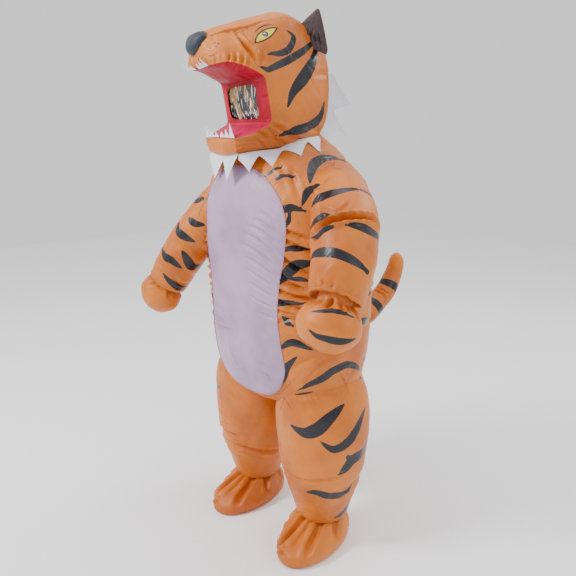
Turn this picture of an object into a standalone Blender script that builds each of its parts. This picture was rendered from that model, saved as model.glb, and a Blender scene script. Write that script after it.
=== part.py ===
"""Inflatable tiger costume: thin cloth panels held out by air, in the pose it has when worn.

Metres, +Z up. The costume faces -Y and its left side is +X. Tables are in floor heights;
the finished objects are lowered by HOLD_HEIGHT, so the origin lies on the shoulder line.
"""

import math
from dataclasses import dataclass

import bmesh
import bpy
import numpy as np

# Driving sizes
HOLD_HEIGHT = 1.40
WALL = 0.002
GAP = 0.0003
SEAM = GAP / 2
BUTT = WALL + GAP
STENCIL = 0.001

# Cloth colours, as red, green, blue and roughness
ORANGE = (0.72, 0.30, 0.08, 0.45)
PINK = (0.60, 0.48, 0.62, 0.45)
RED = (0.62, 0.02, 0.06, 0.45)
BLACK = (0.02, 0.02, 0.025, 0.35)
WHITE = (0.85, 0.85, 0.88, 0.5)
EAR_DARK = (0.06, 0.045, 0.05, 0.5)
FILM = (0.75, 0.78, 0.8, 0.1)


# Interpolation and frames


def smooth(knots, values, at):
    """Monotone cubic curve through values at knots, read at the points in at."""
    knots = np.asarray(knots, float)
    values = np.asarray(values, float)
    at = np.clip(np.asarray(at, float), knots[0], knots[-1])
    step = np.diff(knots)
    slope = np.diff(values) / step
    tangent = np.zeros(len(knots))
    tangent[0] = slope[0]
    tangent[-1] = slope[-1]
    for i in range(1, len(knots) - 1):
        if slope[i - 1] * slope[i] > 0:
            before = 2 * step[i] + step[i - 1]
            after = step[i] + 2 * step[i - 1]
            tangent[i] = (before + after) / (before / slope[i - 1] + after / slope[i])
    i = np.clip(np.searchsorted(knots, at, side="right") - 1, 0, len(step) - 1)
    t = (at - knots[i]) / step[i]
    h = step[i]
    return (
        (2 * t**3 - 3 * t**2 + 1) * values[i]
        + (t**3 - 2 * t**2 + t) * h * tangent[i]
        + (3 * t**2 - 2 * t**3) * values[i + 1]
        + (t**3 - t**2) * h * tangent[i + 1]
    )


def curve(knots, points, at):
    """Smooth curve through points, one smooth() for each coordinate."""
    points = np.asarray(points, float)
    return np.stack([smooth(knots, points[:, k], at) for k in range(points.shape[1])], -1)


def unit(vectors):
    """Each vector divided by its length."""
    return vectors / np.maximum(np.linalg.norm(vectors, axis=-1, keepdims=True), 1e-12)


def column(table, names, name):
    """One named column of a table."""
    return np.array([row[names.index(name)] for row in table], float)


def signed_power(x, power):
    """|x| raised to power, with the sign of x."""
    return np.sign(x) * np.abs(x) ** power


def bump(distance, width):
    """1 on a fold's line, falling smoothly to 0 at width from it."""
    t = np.clip(1 - (distance / width) ** 2, 0, 1)
    return t * t


# Solids from grids of points


def grid_normals(points, inside):
    """Unit normals of a grid of points that face away from the row centres in inside."""
    along = np.gradient(points, axis=0)
    across = np.gradient(points, axis=1)
    normals = unit(np.cross(along, across))
    outwards = np.sum(normals * (points - inside), axis=-1)
    return normals if outwards.sum() > 0 else -normals


def surface_normals(surface, rows, angle, inside):
    """Unit normals of surface(rows, angle), the same on both sides of a seam."""
    up = surface(rows + STENCIL, angle) - surface(rows - STENCIL, angle)
    across = surface(rows, angle + STENCIL) - surface(rows, angle - STENCIL)
    normals = unit(np.cross(up, across))
    outwards = np.sum(normals * (surface(rows, angle) - inside), axis=-1)
    return normals if outwards.sum() > 0 else -normals


def make_mesh(name, points, faces):
    """Mesh with its faces turned outwards, for a closed body."""
    mesh = bpy.data.meshes.new(name)
    mesh.from_pydata([tuple(p) for p in points], [], faces)
    mesh.validate()
    edit = bmesh.new()
    edit.from_mesh(mesh)
    bmesh.ops.triangulate(edit, faces=edit.faces)
    if edit.calc_volume(signed=True) < 0:
        bmesh.ops.reverse_faces(edit, faces=edit.faces)
    edit.to_mesh(mesh)
    edit.free()
    return mesh


def shell_mesh(name, outer, inner, around=False):
    """Closed wall between two grids of points; around joins the last column to the first."""
    rows, columns = outer.shape[:2]
    points = np.concatenate([outer.reshape(-1, 3), inner.reshape(-1, 3)])
    layer = rows * columns
    faces = []
    spans = columns if around else columns - 1
    for r in range(rows - 1):
        for c in range(spans):
            d = (c + 1) % columns
            a, b, e, f = r * columns + c, r * columns + d, (r + 1) * columns + d, (r + 1) * columns + c
            faces.append((a, b, e, f))
            faces.append((f + layer, e + layer, b + layer, a + layer))
    for r, turn in ((0, 1), (rows - 1, -1)):
        for c in range(spans):
            d = (c + 1) % columns
            a, b = r * columns + c, r * columns + d
            faces.append((b, a, a + layer, b + layer)[::turn])
    if not around:
        for c, turn in ((0, -1), (columns - 1, 1)):
            for r in range(rows - 1):
                a, b = r * columns + c, (r + 1) * columns + c
                faces.append((b, a, a + layer, b + layer)[::turn])
    return make_mesh(name, points, faces)


def solid_mesh(name, loops):
    """Closed solid lofted through closed loops of points, with a fan on each end."""
    rows, columns = loops.shape[:2]
    points = np.concatenate([loops.reshape(-1, 3), loops[:1].mean(1), loops[-1:].mean(1)])
    first, last = rows * columns, rows * columns + 1
    faces = []
    for r in range(rows - 1):
        for c in range(columns):
            d = (c + 1) % columns
            faces.append((r * columns + c, r * columns + d, (r + 1) * columns + d, (r + 1) * columns + c))
    for c in range(columns):
        d = (c + 1) % columns
        faces.append((d, c, first))
        faces.append(((rows - 1) * columns + c, (rows - 1) * columns + d, last))
    return make_mesh(name, points, faces)


def material(name, colour):
    """Principled material of one cloth."""
    found = bpy.data.materials.get(name)
    if found:
        return found
    made = bpy.data.materials.new(name)
    made.use_nodes = True
    shader = made.node_tree.nodes["Principled BSDF"]
    shader.inputs["Base Color"].default_value = (*colour[:3], 1)
    shader.inputs["Roughness"].default_value = colour[3]
    return made


def add_object(name, mesh, colour):
    """Object with its own material, lowered so that the shoulder line is at the origin."""
    mesh.materials.clear()
    mesh.materials.append(material(name + "_cloth", colour))
    mesh.shade_smooth()
    mesh.set_sharp_from_angle(angle=math.radians(40))
    obj = bpy.data.objects.new(name, mesh)
    obj.location = (0, 0, -HOLD_HEIGHT)
    bpy.context.scene.collection.objects.link(obj)
    return obj


def wrapped(points):
    """Grid with its last column also before the first, and its first after the last."""
    return np.concatenate([points[:, -1:], points, points[:, :1]], 1)


def panel(name, outer, inside, colour, around=False, cutters=(), normals=None):
    """Cloth panel: the grid outer and the same grid one wall further in, cut by its neighbours."""
    if normals is None and around:
        normals = grid_normals(wrapped(outer), wrapped(inside))[:, 1:-1]
    elif normals is None:
        normals = grid_normals(outer, inside)
    mesh = shell_mesh(name, outer, outer - normals * WALL, around)
    return add_object(name, cut_mesh(mesh, cutters), colour)


def cutter(name, mesh):
    """Hidden solid that cuts a panel where it meets its neighbour."""
    obj = bpy.data.objects.new(name, mesh)
    obj.hide_render = True
    obj.display_type = "WIRE"
    bpy.context.scene.collection.objects.link(obj)
    obj.location = (0, 0, -HOLD_HEIGHT)
    return obj


def largest_island(mesh):
    """Leaves only the largest connected body of a mesh."""
    edit = bmesh.new()
    edit.from_mesh(mesh)
    left = set(edit.verts)
    islands = []
    while left:
        todo = [left.pop()]
        island = list(todo)
        while todo:
            for edge in todo.pop().link_edges:
                for vert in edge.verts:
                    if vert in left:
                        left.remove(vert)
                        island.append(vert)
                        todo.append(vert)
        islands.append(island)
    islands.sort(key=len)
    for island in islands[:-1]:
        bmesh.ops.delete(edit, geom=island, context="VERTS")
    edit.to_mesh(mesh)
    edit.free()
    return mesh


def cut_mesh(mesh, cutters):
    """The mesh after each cutter is taken out of it with an exact Boolean."""
    if not cutters:
        return mesh
    work = bpy.data.objects.new("work", mesh)
    work.location = (0, 0, -HOLD_HEIGHT)
    bpy.context.scene.collection.objects.link(work)
    for other in cutters:
        modifier = work.modifiers.new("cut", "BOOLEAN")
        modifier.operation = "DIFFERENCE"
        modifier.solver = "EXACT"
        modifier.object = other
    bpy.context.view_layer.update()
    graph = bpy.context.evaluated_depsgraph_get()
    result = bpy.data.meshes.new_from_object(work.evaluated_get(graph))
    result.name = mesh.name
    bpy.data.objects.remove(work)
    return largest_island(result)


# Torso: flat sections stacked by height

TORSO_COLUMNS = ("height", "half_wide", "front", "back")
TORSO = (
    (0.545, 0.100, 0.075, 0.080),
    (0.560, 0.190, 0.135, 0.145),
    (0.600, 0.282, 0.192, 0.196),
    (0.660, 0.316, 0.217, 0.220),
    (0.740, 0.330, 0.230, 0.232),
    (0.850, 0.340, 0.238, 0.236),
    (1.000, 0.348, 0.243, 0.238),
    (1.150, 0.357, 0.249, 0.240),
    (1.250, 0.352, 0.249, 0.236),
    (1.330, 0.318, 0.242, 0.222),
    (1.390, 0.262, 0.226, 0.198),
    (1.430, 0.214, 0.204, 0.172),
    (1.465, 0.176, 0.172, 0.148),
    (1.500, 0.145, 0.140, 0.105),
    (1.530, 0.115, 0.118, 0.080),
)
TORSO_SQUARENESS = 2.25
TORSO_ROWS = 6
FRONT_COLUMNS, BACK_COLUMNS, TORSO_BELLY_COLUMNS = 5, 6, 9
TORSO_MIDDLE = np.array((0.3, 0.3, 1.0))
TORSO_RADIUS = 0.28

BELLY_COLUMNS = ("height", "half_angle")
BELLY = (
    (0.592, 0.5),
    (0.598, 12.0),
    (0.622, 25.0),
    (0.665, 33.0),
    (0.730, 36.5),
    (0.830, 33.5),
    (0.930, 31.5),
    (1.030, 33.0),
    (1.130, 36.5),
    (1.230, 38.0),
    (1.305, 36.0),
    (1.365, 29.0),
    (1.402, 17.0),
    (1.412, 0.5),
)
BELLY_EDGE = 0.002
LEAST_HALF_ANGLE = 0.004
PLACKET_LOW, PLACKET_HIGH, PLACKET_SHARE, PLACKET_LIFT = 0.80, 1.36, 0.17, 0.0006


def torso_ring(height, angle, inwards=0.0):
    """Point of the torso's outer face; angle 0 is the front and 90 degrees the left side."""
    heights = column(TORSO, TORSO_COLUMNS, "height")
    wide, front, back = (
        smooth(heights, column(TORSO, TORSO_COLUMNS, name), height) - inwards
        for name in ("half_wide", "front", "back")
    )
    power = 2 / TORSO_SQUARENESS
    deep = np.where(np.cos(angle) > 0, front, back)
    x = wide * signed_power(np.sin(angle), power)
    y = -deep * signed_power(np.cos(angle), power)
    return np.stack([x, y, height + 0 * angle], -1)


def belly_angle(height):
    """Half angle of the belly panel at a height, 0 above and below it."""
    knots = column(BELLY, BELLY_COLUMNS, "height")
    angle = np.radians(smooth(knots, column(BELLY, BELLY_COLUMNS, "half_angle"), height))
    return np.where((height > knots[0]) & (height < knots[-1]), angle, 0.0)


def even_rows(low, high, count, extra=()):
    """Heights from low to high, evenly spaced, with the named extra ones."""
    return np.array(sorted({*np.linspace(low, high, count).round(5), *np.round(extra, 5)}))


def torso_rows():
    """Heights of the torso's rows: even ones, the belly's own, and two at each end of the belly."""
    knots = column(BELLY, BELLY_COLUMNS, "height")
    edges = [at + step for at in (knots[0], knots[-1]) for step in (-BELLY_EDGE, BELLY_EDGE)]
    return even_rows(TORSO[0][0], TORSO[-1][0], TORSO_ROWS, (*edges, *knots[1:-1]))


def spread(start, end, columns):
    """Angles from start to end on each row, evenly spaced."""
    share = np.linspace(0, 1, columns)[None, :]
    return start[:, None] + (end - start)[:, None] * share


def torso_angles(rows, sign):
    """Angles of the front and the back panel on one side, row by row."""
    gap = np.full(len(rows), SEAM / TORSO_RADIUS)
    side = np.full(len(rows), math.pi / 2)
    front = spread(belly_angle(rows) + gap, side - gap, FRONT_COLUMNS)
    back = spread(side + gap, 2 * side - gap, BACK_COLUMNS)
    return sign * front, sign * back


def torso_points(rows, angle, inwards=0.0):
    """Points of the torso's outer face on a grid of angles, one row a height."""
    return torso_ring(np.repeat(rows[:, None], angle.shape[1], 1), angle, inwards)


def build_torso(cutters):
    """Belly, two front panels, two back panels, the placket and the crotch gusset."""
    rows = torso_rows()
    knots = column(BELLY, BELLY_COLUMNS, "height")
    belly_rows = rows[(rows > knots[0]) & (rows < knots[-1])]
    half = np.maximum(belly_angle(belly_rows) - SEAM / TORSO_RADIUS, LEAST_HALF_ANGLE)
    grids = [("belly_panel", PINK, belly_rows, spread(-half, half, TORSO_BELLY_COLUMNS))]
    for word, sign in (("left", 1), ("right", -1)):
        front, back = torso_angles(rows, sign)
        grids.append(("front_" + word, ORANGE, rows, front))
        grids.append(("back_" + word, ORANGE, rows, back))
    for name, colour, heights, angle in grids:
        outer = torso_points(heights, angle)
        inside = outer * TORSO_MIDDLE
        normals = surface_normals(torso_points, heights, angle, inside)
        panel(name, outer, inside, colour, cutters=cutters, normals=normals)
    build_placket(rows)


def build_placket(rows):
    """Flap over the back opening, on the back panels' own points moved out."""
    rows = rows[(rows > PLACKET_LOW) & (rows < PLACKET_HIGH)]
    columns = []
    for sign in (1, 0, -1):
        _, back = torso_angles(rows, sign or 1)
        face = torso_points(rows, back)
        columns.append(face[:, -1] + (face[:, -2] - face[:, -1]) * PLACKET_SHARE * abs(sign))
    outer = np.stack(columns, 1)
    outer[:, 1, 0] = 0
    outer[..., 1] += WALL + PLACKET_LIFT
    panel("back_placket", outer, outer * TORSO_MIDDLE, ORANGE)


GUSSET_AROUND, GUSSET_SHARES = 12, (1.0, 0.6, 0.1)
GUSSET_SAG, GUSSET_LIFT = 0.010, 0.0025


def build_gusset(cutters):
    """Oval of cloth that closes the torso between the legs, which cut it."""
    low = TORSO[0][0]
    angle = np.linspace(0, 2 * math.pi, GUSSET_AROUND, endpoint=False)
    rim = torso_ring(np.full(GUSSET_AROUND, low), angle, BUTT)
    centre = np.array((0.0, 0.0, low))
    shares = np.array(GUSSET_SHARES)
    outer = np.stack([centre + (rim - centre) * share for share in shares])
    outer[:, :, 2] = low - GUSSET_SAG * (1 - shares[:, None] ** 2) + GUSSET_LIFT
    inner = outer + np.array((0.0, 0.0, WALL))
    loops = np.concatenate([outer[::-1], inner])
    mesh = solid_mesh("crotch_gusset", loops)
    add_object("crotch_gusset", cut_mesh(mesh, cutters), ORANGE)


def torso_solid(name, inwards):
    """Filled torso with its panels' own facets, moved in by inwards, that cuts its neighbours."""
    rows = torso_rows()
    front, back = torso_angles(rows, 1)
    edge = front[:, 0]
    belly = spread(-edge, edge, TORSO_BELLY_COLUMNS)[:, 1:-1]
    angle = np.concatenate([belly, front, back, -back[:, ::-1], -front[:, ::-1]], 1)
    return cutter(name, solid_mesh(name, torso_points(rows, angle, inwards)))


# Limbs: round tubes along a bent line


@dataclass
class Tube:
    """Round cloth tube along a smooth line, with a rolled hem that turns in at its open end."""

    table: tuple
    outwards: tuple
    rows: int
    hem_radius: float = 0.0
    hem_depth: float = 0.0
    folds: tuple = ()

    COLUMNS = ("x", "y", "z", "wide", "deep")
    LINE_STEP = 0.01
    # Columns of a fold: place, slope, depth, width, middle, reach
    HEM_STEPS = ((0.25, 0.0, 0.003), (0.6, 0.0, 0.0), (1.0, 1.0, 0.0))
    HEM_NORMALS = ((0.5, 1.0), (-0.6, 1.0), (-1.0, 0.3))

    def knots(self):
        """Share of the whole length at each row of the table."""
        points = np.array([row[:3] for row in self.table], float)
        run = np.concatenate([[0], np.cumsum(np.linalg.norm(np.diff(points, axis=0), axis=1))])
        return run / run[-1]

    def frames(self, places):
        """Centre, direction, outward axis and side axis at each place along the line."""
        knots = self.knots()
        points = np.array([row[:3] for row in self.table], float)
        centre = curve(knots, points, places)
        ahead = curve(knots, points, np.clip(places + self.LINE_STEP, 0, 1))
        behind = curve(knots, points, np.clip(places - self.LINE_STEP, 0, 1))
        direction = unit(ahead - behind)
        side = unit(np.cross(direction, np.array(self.outwards, float)))
        out = np.cross(side, direction)
        return centre, direction, out, side

    def trough(self, place, angle):
        """Depth of the folds at a place and angle."""
        total = 0 * angle
        for row in self.folds:
            at, slope, depth, width, middle, reach = row
            turn = np.angle(np.exp(1j * (angle - math.radians(middle))))
            fade = np.clip(1 - (turn / math.radians(reach)) ** 2, 0, 1)
            total = total + depth * fade * bump(place - at - slope * turn, width)
        return total

    def grid(self, places, angle, inwards=0.0):
        """Points at places (one a row) and angles (one a column, 0 is outwards)."""
        knots = self.knots()
        centre, _, out, side = self.frames(np.clip(places, 0, 1))
        wide = smooth(knots, column(self.table, self.COLUMNS, "wide"), places)
        deep = smooth(knots, column(self.table, self.COLUMNS, "deep"), places)
        turn = angle + 0 * places[:, None]
        drop = inwards + self.trough(places[:, None], turn)
        x = (wide[:, None] - drop) * np.cos(turn)
        y = (deep[:, None] - drop) * np.sin(turn)
        return centre[:, None] + out[:, None] * x[..., None] + side[:, None] * y[..., None]

    def hem(self, angle):
        """Rows of the hem, rolled in from the tube's end and back to a smaller ring."""
        end = np.array([1.0])
        centre, direction, _, _ = self.frames(end)
        ring = self.grid(end, angle)[0] - centre
        radius = np.linalg.norm(ring, axis=1)
        rows = []
        for share, back, ahead in self.HEM_STEPS:
            size = radius + (self.hem_radius - radius) * share
            place = direction[0] * (ahead - back * self.hem_depth)
            rows.append(centre + unit(ring) * size[:, None] + place)
        return np.array(rows)

    def all_rows(self):
        """Places of the rows, closer together at the folds."""
        extra = []
        for row in self.folds:
            extra += [row[0] - row[3] / 2, row[0], row[0] + row[3] / 2]
        return even_rows(0, 1, self.rows, np.clip(extra, 0, 1))

    def make_panel(self, name, colour, first, last, columns, cutters=()):
        """Panel between two angles, in degrees, with its hem."""
        places = self.all_rows()
        gap = SEAM / column(self.table, self.COLUMNS, "wide").min()
        angle = np.linspace(math.radians(first) + gap, math.radians(last) - gap, columns)
        outer = self.grid(places, angle)
        centre = np.repeat(self.frames(places)[0][:, None], columns, 1)
        normals = surface_normals(self.grid, places, angle, centre)
        hem = self.hem(angle)
        end = self.frames(np.array([1.0]))
        radial = unit(outer[-1] - centre[-1])
        turns = [unit(radial * out + end[1][0] * ahead) for out, ahead in self.HEM_NORMALS]
        outer = np.concatenate([outer, hem])
        centre = np.concatenate([centre, np.repeat(centre[-1:], len(hem), 0)])
        normals = np.concatenate([normals, turns])
        panel(name, outer, centre, colour, cutters=cutters, normals=normals)

    def solid(self, name, inwards, places, angle):
        """Filled tube with its panels' own facets, that cuts its neighbours."""
        return cutter(name, solid_mesh(name, self.grid(places, angle, inwards)))


LEFT_ARM = (
    (0.140, 0.005, 1.295, 0.096, 0.100),
    (0.245, -0.015, 1.305, 0.108, 0.108),
    (0.340, -0.058, 1.258, 0.108, 0.106),
    (0.402, -0.108, 1.190, 0.101, 0.102),
    (0.430, -0.142, 1.130, 0.096, 0.097),
    (0.439, -0.165, 1.076, 0.091, 0.092),
    (0.444, -0.184, 1.026, 0.084, 0.087),
)
RIGHT_ARM = (
    (-0.140, 0.005, 1.290, 0.092, 0.096),
    (-0.235, -0.020, 1.298, 0.098, 0.100),
    (-0.308, -0.078, 1.232, 0.096, 0.097),
    (-0.362, -0.140, 1.150, 0.090, 0.090),
    (-0.408, -0.184, 1.070, 0.086, 0.086),
    (-0.452, -0.216, 0.990, 0.081, 0.082),
    (-0.484, -0.236, 0.928, 0.075, 0.077),
)
RIGHT_ARM_FOLDS = (
    (0.640, 0.030, 0.010, 0.065, 180.0, 100.0),
)
CUFF_RADIUS_LEFT, CUFF_RADIUS_RIGHT, CUFF_DEPTH = 0.056, 0.054, 0.018

LEFT_LEG = (
    (0.148, 0.005, 0.700, 0.112, 0.140),
    (0.178, 0.005, 0.625, 0.144, 0.172),
    (0.194, 0.004, 0.545, 0.161, 0.178),
    (0.202, 0.002, 0.460, 0.164, 0.172),
    (0.204, 0.000, 0.360, 0.156, 0.162),
    (0.204, 0.000, 0.270, 0.138, 0.144),
    (0.203, 0.002, 0.190, 0.113, 0.118),
    (0.202, 0.004, 0.115, 0.092, 0.094),
)
LEFT_LEG_FOLDS = (
    (0.715, 0.020, 0.009, 0.055, -60.0, 95.0),
)
RIGHT_LEG_FOLDS = (
    (0.665, 0.020, 0.009, 0.055, -60.0, 95.0),
)
ANKLE_RADIUS, ANKLE_DEPTH = 0.066, 0.016
LIMB_ROWS = 7


def mirrored(table):
    """Table for the right side: the same rows with x turned round."""
    return tuple((-row[0], *row[1:]) for row in table)


def limbs():
    """The four tubes, by node name."""
    rows = LIMB_ROWS
    right_leg = mirrored(LEFT_LEG)
    return {
        "sleeve_left": Tube(LEFT_ARM, (1, 0, 0.3), rows, CUFF_RADIUS_LEFT, CUFF_DEPTH),
        "sleeve_right": Tube(RIGHT_ARM, (-1, 0, 0.3), rows, CUFF_RADIUS_RIGHT, CUFF_DEPTH, RIGHT_ARM_FOLDS),
        "leg_left": Tube(LEFT_LEG, (1, 0, 0), rows, ANKLE_RADIUS, ANKLE_DEPTH, LEFT_LEG_FOLDS),
        "leg_right": Tube(right_leg, (-1, 0, 0), rows, ANKLE_RADIUS, ANKLE_DEPTH, RIGHT_LEG_FOLDS),
    }


LIMB_COLUMNS = 8
LIMB_AROUND = 2 * (LIMB_COLUMNS - 1)
LIMB_ANGLES = np.linspace(-math.pi / 2, 3 * math.pi / 2, LIMB_AROUND, endpoint=False)


# Tail

TAIL = (
    (0.000, 0.175, 0.705, 0.050, 0.050),
    (0.000, 0.270, 0.722, 0.049, 0.049),
    (0.000, 0.360, 0.744, 0.048, 0.048),
    (0.000, 0.460, 0.782, 0.046, 0.046),
    (0.000, 0.545, 0.840, 0.043, 0.043),
    (0.000, 0.600, 0.910, 0.039, 0.039),
    (0.000, 0.620, 0.968, 0.034, 0.034),
    (0.000, 0.622, 0.998, 0.022, 0.022),
    (0.000, 0.623, 1.010, 0.007, 0.007),
)


def pouch(name, tube, places, angle, cutters=()):
    """Closed bag of cloth along a tube, open only at its root."""
    outer = tube.grid(places, angle)
    inner = tube.grid(places[:-1], angle, WALL)
    _, direction, _, _ = tube.frames(places)
    inner[-1] -= direction[-1] * WALL
    mesh = solid_mesh(name, np.concatenate([outer[::-1], inner]))
    add_object(name, cut_mesh(mesh, cutters), ORANGE)


# Mitts

# Each row is measured from the sleeve's end, along the arm first, then how far it sags forward
# Columns: along, aside, drop, wide, deep
LEFT_MITT = (
    (-0.0240, 0.000, 0.000, 0.0550, 0.0550),
    (0.0040, 0.000, 0.000, 0.0558, 0.0558),
    (0.0360, 0.000, 0.002, 0.0910, 0.0770),
    (0.0780, -0.002, 0.006, 0.1030, 0.0850),
    (0.1200, -0.004, 0.010, 0.0860, 0.0700),
    (0.1460, -0.005, 0.013, 0.0460, 0.0380),
    (0.1540, -0.006, 0.014, 0.0070, 0.0070),
)
RIGHT_MITT = (
    (-0.0240, 0.000, 0.000, 0.0530, 0.0530),
    (0.0040, 0.000, 0.000, 0.0538, 0.0538),
    (0.0340, 0.000, 0.004, 0.0800, 0.0690),
    (0.0720, 0.002, 0.010, 0.0860, 0.0720),
    (0.1060, 0.004, 0.018, 0.0680, 0.0580),
    (0.1300, 0.006, 0.024, 0.0340, 0.0300),
    (0.1370, 0.007, 0.026, 0.0070, 0.0070),
)
MITT_FOLDS = (
    (0.250, 0.000, 0.007, 0.120, 40.0, 22.0),
    (0.250, 0.000, 0.008, 0.120, 95.0, 20.0),
    (0.250, 0.000, 0.007, 0.120, 150.0, 22.0),
    (0.250, 0.000, 0.008, 0.120, -145.0, 24.0),
    (0.250, 0.000, 0.007, 0.120, -85.0, 22.0),
    (0.250, 0.000, 0.008, 0.120, -25.0, 24.0),
)


MITT_PLACES = np.array((0.0, 0.10, 0.20, 0.30, 0.42, 0.56, 0.70, 0.82, 0.91, 0.96, 1.0))


def build_mitts(tubes):
    """Rounded mitts, gathered at the wrist and closed over the fingers."""
    for name, sleeve, table, outwards in (
        ("mitt_left", tubes["sleeve_left"], LEFT_MITT, (0.8, 0.6, 0.0)),
        ("mitt_right", tubes["sleeve_right"], RIGHT_MITT, (-0.7, -0.6, 0.0)),
    ):
        end, ahead, sleeve_out, _ = (value[0] for value in sleeve.frames(np.array([1.0])))
        rows = []
        for along, aside, drop, wide, deep in table:
            centre = end + ahead * along + np.array((aside, -drop, 0.0))
            rows.append((*centre, wide, deep))
        mitt = Tube(tuple(rows), outwards, 0, folds=MITT_FOLDS)
        _, _, out, side = (value[0] for value in mitt.frames(np.array([0.0])))
        turn = math.atan2(np.dot(sleeve_out, side), np.dot(sleeve_out, out))
        pouch(name, mitt, MITT_PLACES, LIMB_ANGLES + turn)


# Shoe covers

SHOE_COLUMNS = ("height", "ahead", "half_long", "half_wide")
SHOE = (
    (0.000, 0.000, 0.1780, 0.0950),
    (0.012, 0.002, 0.1880, 0.1060),
    (0.035, 0.002, 0.1880, 0.1100),
    (0.062, -0.008, 0.1700, 0.1060),
    (0.083, -0.030, 0.1350, 0.0990),
    (0.098, -0.045, 0.1040, 0.0890),
    (0.108, -0.053, 0.0780, 0.0750),
    (0.120, -0.055, 0.0652, 0.0652),
    (0.138, -0.055, 0.0650, 0.0650),
)
NECK_ROWS = 2
ANKLE_AHEAD = -0.055
# Columns: turn, depth, half width
SHOE_FOLDS = (
    (-62.0, 0.010, 20.0),
    (-26.0, 0.015, 17.0),
    (8.0, 0.010, 15.0),
    (34.0, 0.016, 16.0),
    (72.0, 0.010, 20.0),
    (125.0, 0.007, 24.0),
    (-130.0, 0.008, 24.0),
    (178.0, 0.007, 22.0),
)
SHOE_FOLD_HEIGHT, SHOE_FOLD_REACH = 0.083, 0.037
SHOE_CORNER = 1
SHOE_AROUND = 2 * LIMB_AROUND
# Columns: side, x, y, turn of the toe
FEET = (("left", 0.202, 0.004, 15.0), ("right", -0.202, 0.004, 10.0))


def shoe_loops(x, y, turned, inwards, heights):
    """Closed loops of a shoe cover over an ankle at x, y, with its toe turned towards +X."""
    even = np.linspace(-math.pi, math.pi, SHOE_AROUND, endpoint=False)
    turn = np.repeat(even[None], len(heights), 0)
    knots = column(SHOE, SHOE_COLUMNS, "height")
    ahead, long, wide = (
        smooth(knots, column(SHOE, SHOE_COLUMNS, name), heights)[:, None]
        for name in ("ahead", "half_long", "half_wide")
    )
    neck = (heights >= SHOE[-NECK_ROWS][0])[:, None]
    spacing = 2 * math.pi / SHOE_AROUND
    turn = turn + neck * (round(math.radians(turned) / spacing) * spacing - math.radians(turned))
    flat = np.where(np.arange(SHOE_AROUND) % 2 == SHOE_CORNER, 1.0, math.cos(math.pi / LIMB_AROUND))
    flat = np.where(neck, flat, 1.0)
    trough = 0 * turn
    for at, depth, width in SHOE_FOLDS:
        away = np.angle(np.exp(1j * (turn - math.radians(at))))
        envelope = bump(heights - SHOE_FOLD_HEIGHT, SHOE_FOLD_REACH)
        trough = trough + depth * envelope[:, None] * bump(away, math.radians(width))
    forward = ahead - ANKLE_AHEAD + (long * flat - inwards - trough) * np.cos(turn)
    across = (wide * flat - inwards - trough) * np.sin(turn)
    angle = math.radians(turned)
    toe = np.array((math.sin(angle), -math.cos(angle), 0.0))
    left = np.array((math.cos(angle), math.sin(angle), 0.0))
    place = np.array((x, y, 0.0)) + forward[..., None] * toe + across[..., None] * left
    place[..., 2] = heights[:, None]
    return place


def build_shoes():
    """Loose shoe covers, gathered into the leg hem, each on a flat sole."""
    heights = column(SHOE, SHOE_COLUMNS, "height")
    for word, x, y, turned in FEET:
        outer = shoe_loops(x, y, turned, 0.0, heights)
        inner = shoe_loops(x, y, turned, WALL, heights)
        add_object("shoe_cover_" + word, shell_mesh("shoe", outer, inner, True), ORANGE)
        rim = shoe_loops(x, y, turned, BUTT, np.array((0.0, 0.0)))
        rim[1, :, 2] = WALL
        add_object("sole_" + word, solid_mesh("sole", rim), ORANGE)


# Head: a bent tube that runs from the upper lip back over the mouth and forward to the chin

HEAD_TURN = math.radians(12)
HEAD_FORWARD = np.array((-math.sin(HEAD_TURN), -math.cos(HEAD_TURN), 0.0))
HEAD_LEFT = np.array((math.cos(HEAD_TURN), -math.sin(HEAD_TURN), 0.0))
UP = np.array((0.0, 0.0, 1.0))

# Outer and inner points of each section on the middle plane, then half widths and swellings
HEAD_COLUMNS = (
    "outer_ahead",
    "outer_height",
    "inner_ahead",
    "inner_height",
    "inner_half",
    "outer_half",
    "side_swell",
    "crown_drop",
    "mouth_swell",
)
HEAD = (
    (0.322, 1.824, 0.330, 1.722, 0.098, 0.058, 0.012, 0.016, 0.004),
    (0.285, 1.842, 0.285, 1.731, 0.142, 0.085, 0.012, 0.018, 0.016),
    (0.225, 1.862, 0.235, 1.718, 0.168, 0.105, 0.012, 0.020, 0.026),
    (0.150, 1.884, 0.196, 1.700, 0.179, 0.118, 0.014, 0.024, 0.018),
    (0.060, 1.905, 0.183, 1.692, 0.181, 0.122, 0.016, 0.030, 0.004),
    (-0.020, 1.880, 0.176, 1.684, 0.181, 0.120, 0.017, 0.034, 0.000),
    (-0.088, 1.822, 0.173, 1.672, 0.181, 0.118, 0.018, 0.034, 0.002),
    (-0.122, 1.745, 0.169, 1.650, 0.181, 0.118, 0.020, 0.034, 0.006),
    (-0.130, 1.662, 0.163, 1.615, 0.181, 0.118, 0.022, 0.034, 0.008),
    (-0.122, 1.592, 0.157, 1.578, 0.181, 0.120, 0.020, 0.032, 0.004),
    (-0.100, 1.532, 0.155, 1.560, 0.181, 0.126, 0.018, 0.030, 0.000),
    (-0.055, 1.494, 0.160, 1.549, 0.181, 0.134, 0.016, 0.026, 0.000),
    (0.015, 1.474, 0.172, 1.541, 0.180, 0.140, 0.014, 0.022, 0.004),
    (0.110, 1.462, 0.195, 1.529, 0.175, 0.143, 0.012, 0.018, 0.010),
    (0.185, 1.455, 0.225, 1.514, 0.158, 0.133, 0.010, 0.014, 0.010),
    (0.250, 1.446, 0.262, 1.502, 0.128, 0.114, 0.006, 0.010, 0.002),
)
LAST = len(HEAD) - 1
SECTION_STEP = LAST / 24
PALATE_END, THROAT_END = 7 * SECTION_STEP, 17 * SECTION_STEP
TOP_END, NAPE_END = 10 * SECTION_STEP, 18 * SECTION_STEP
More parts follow.
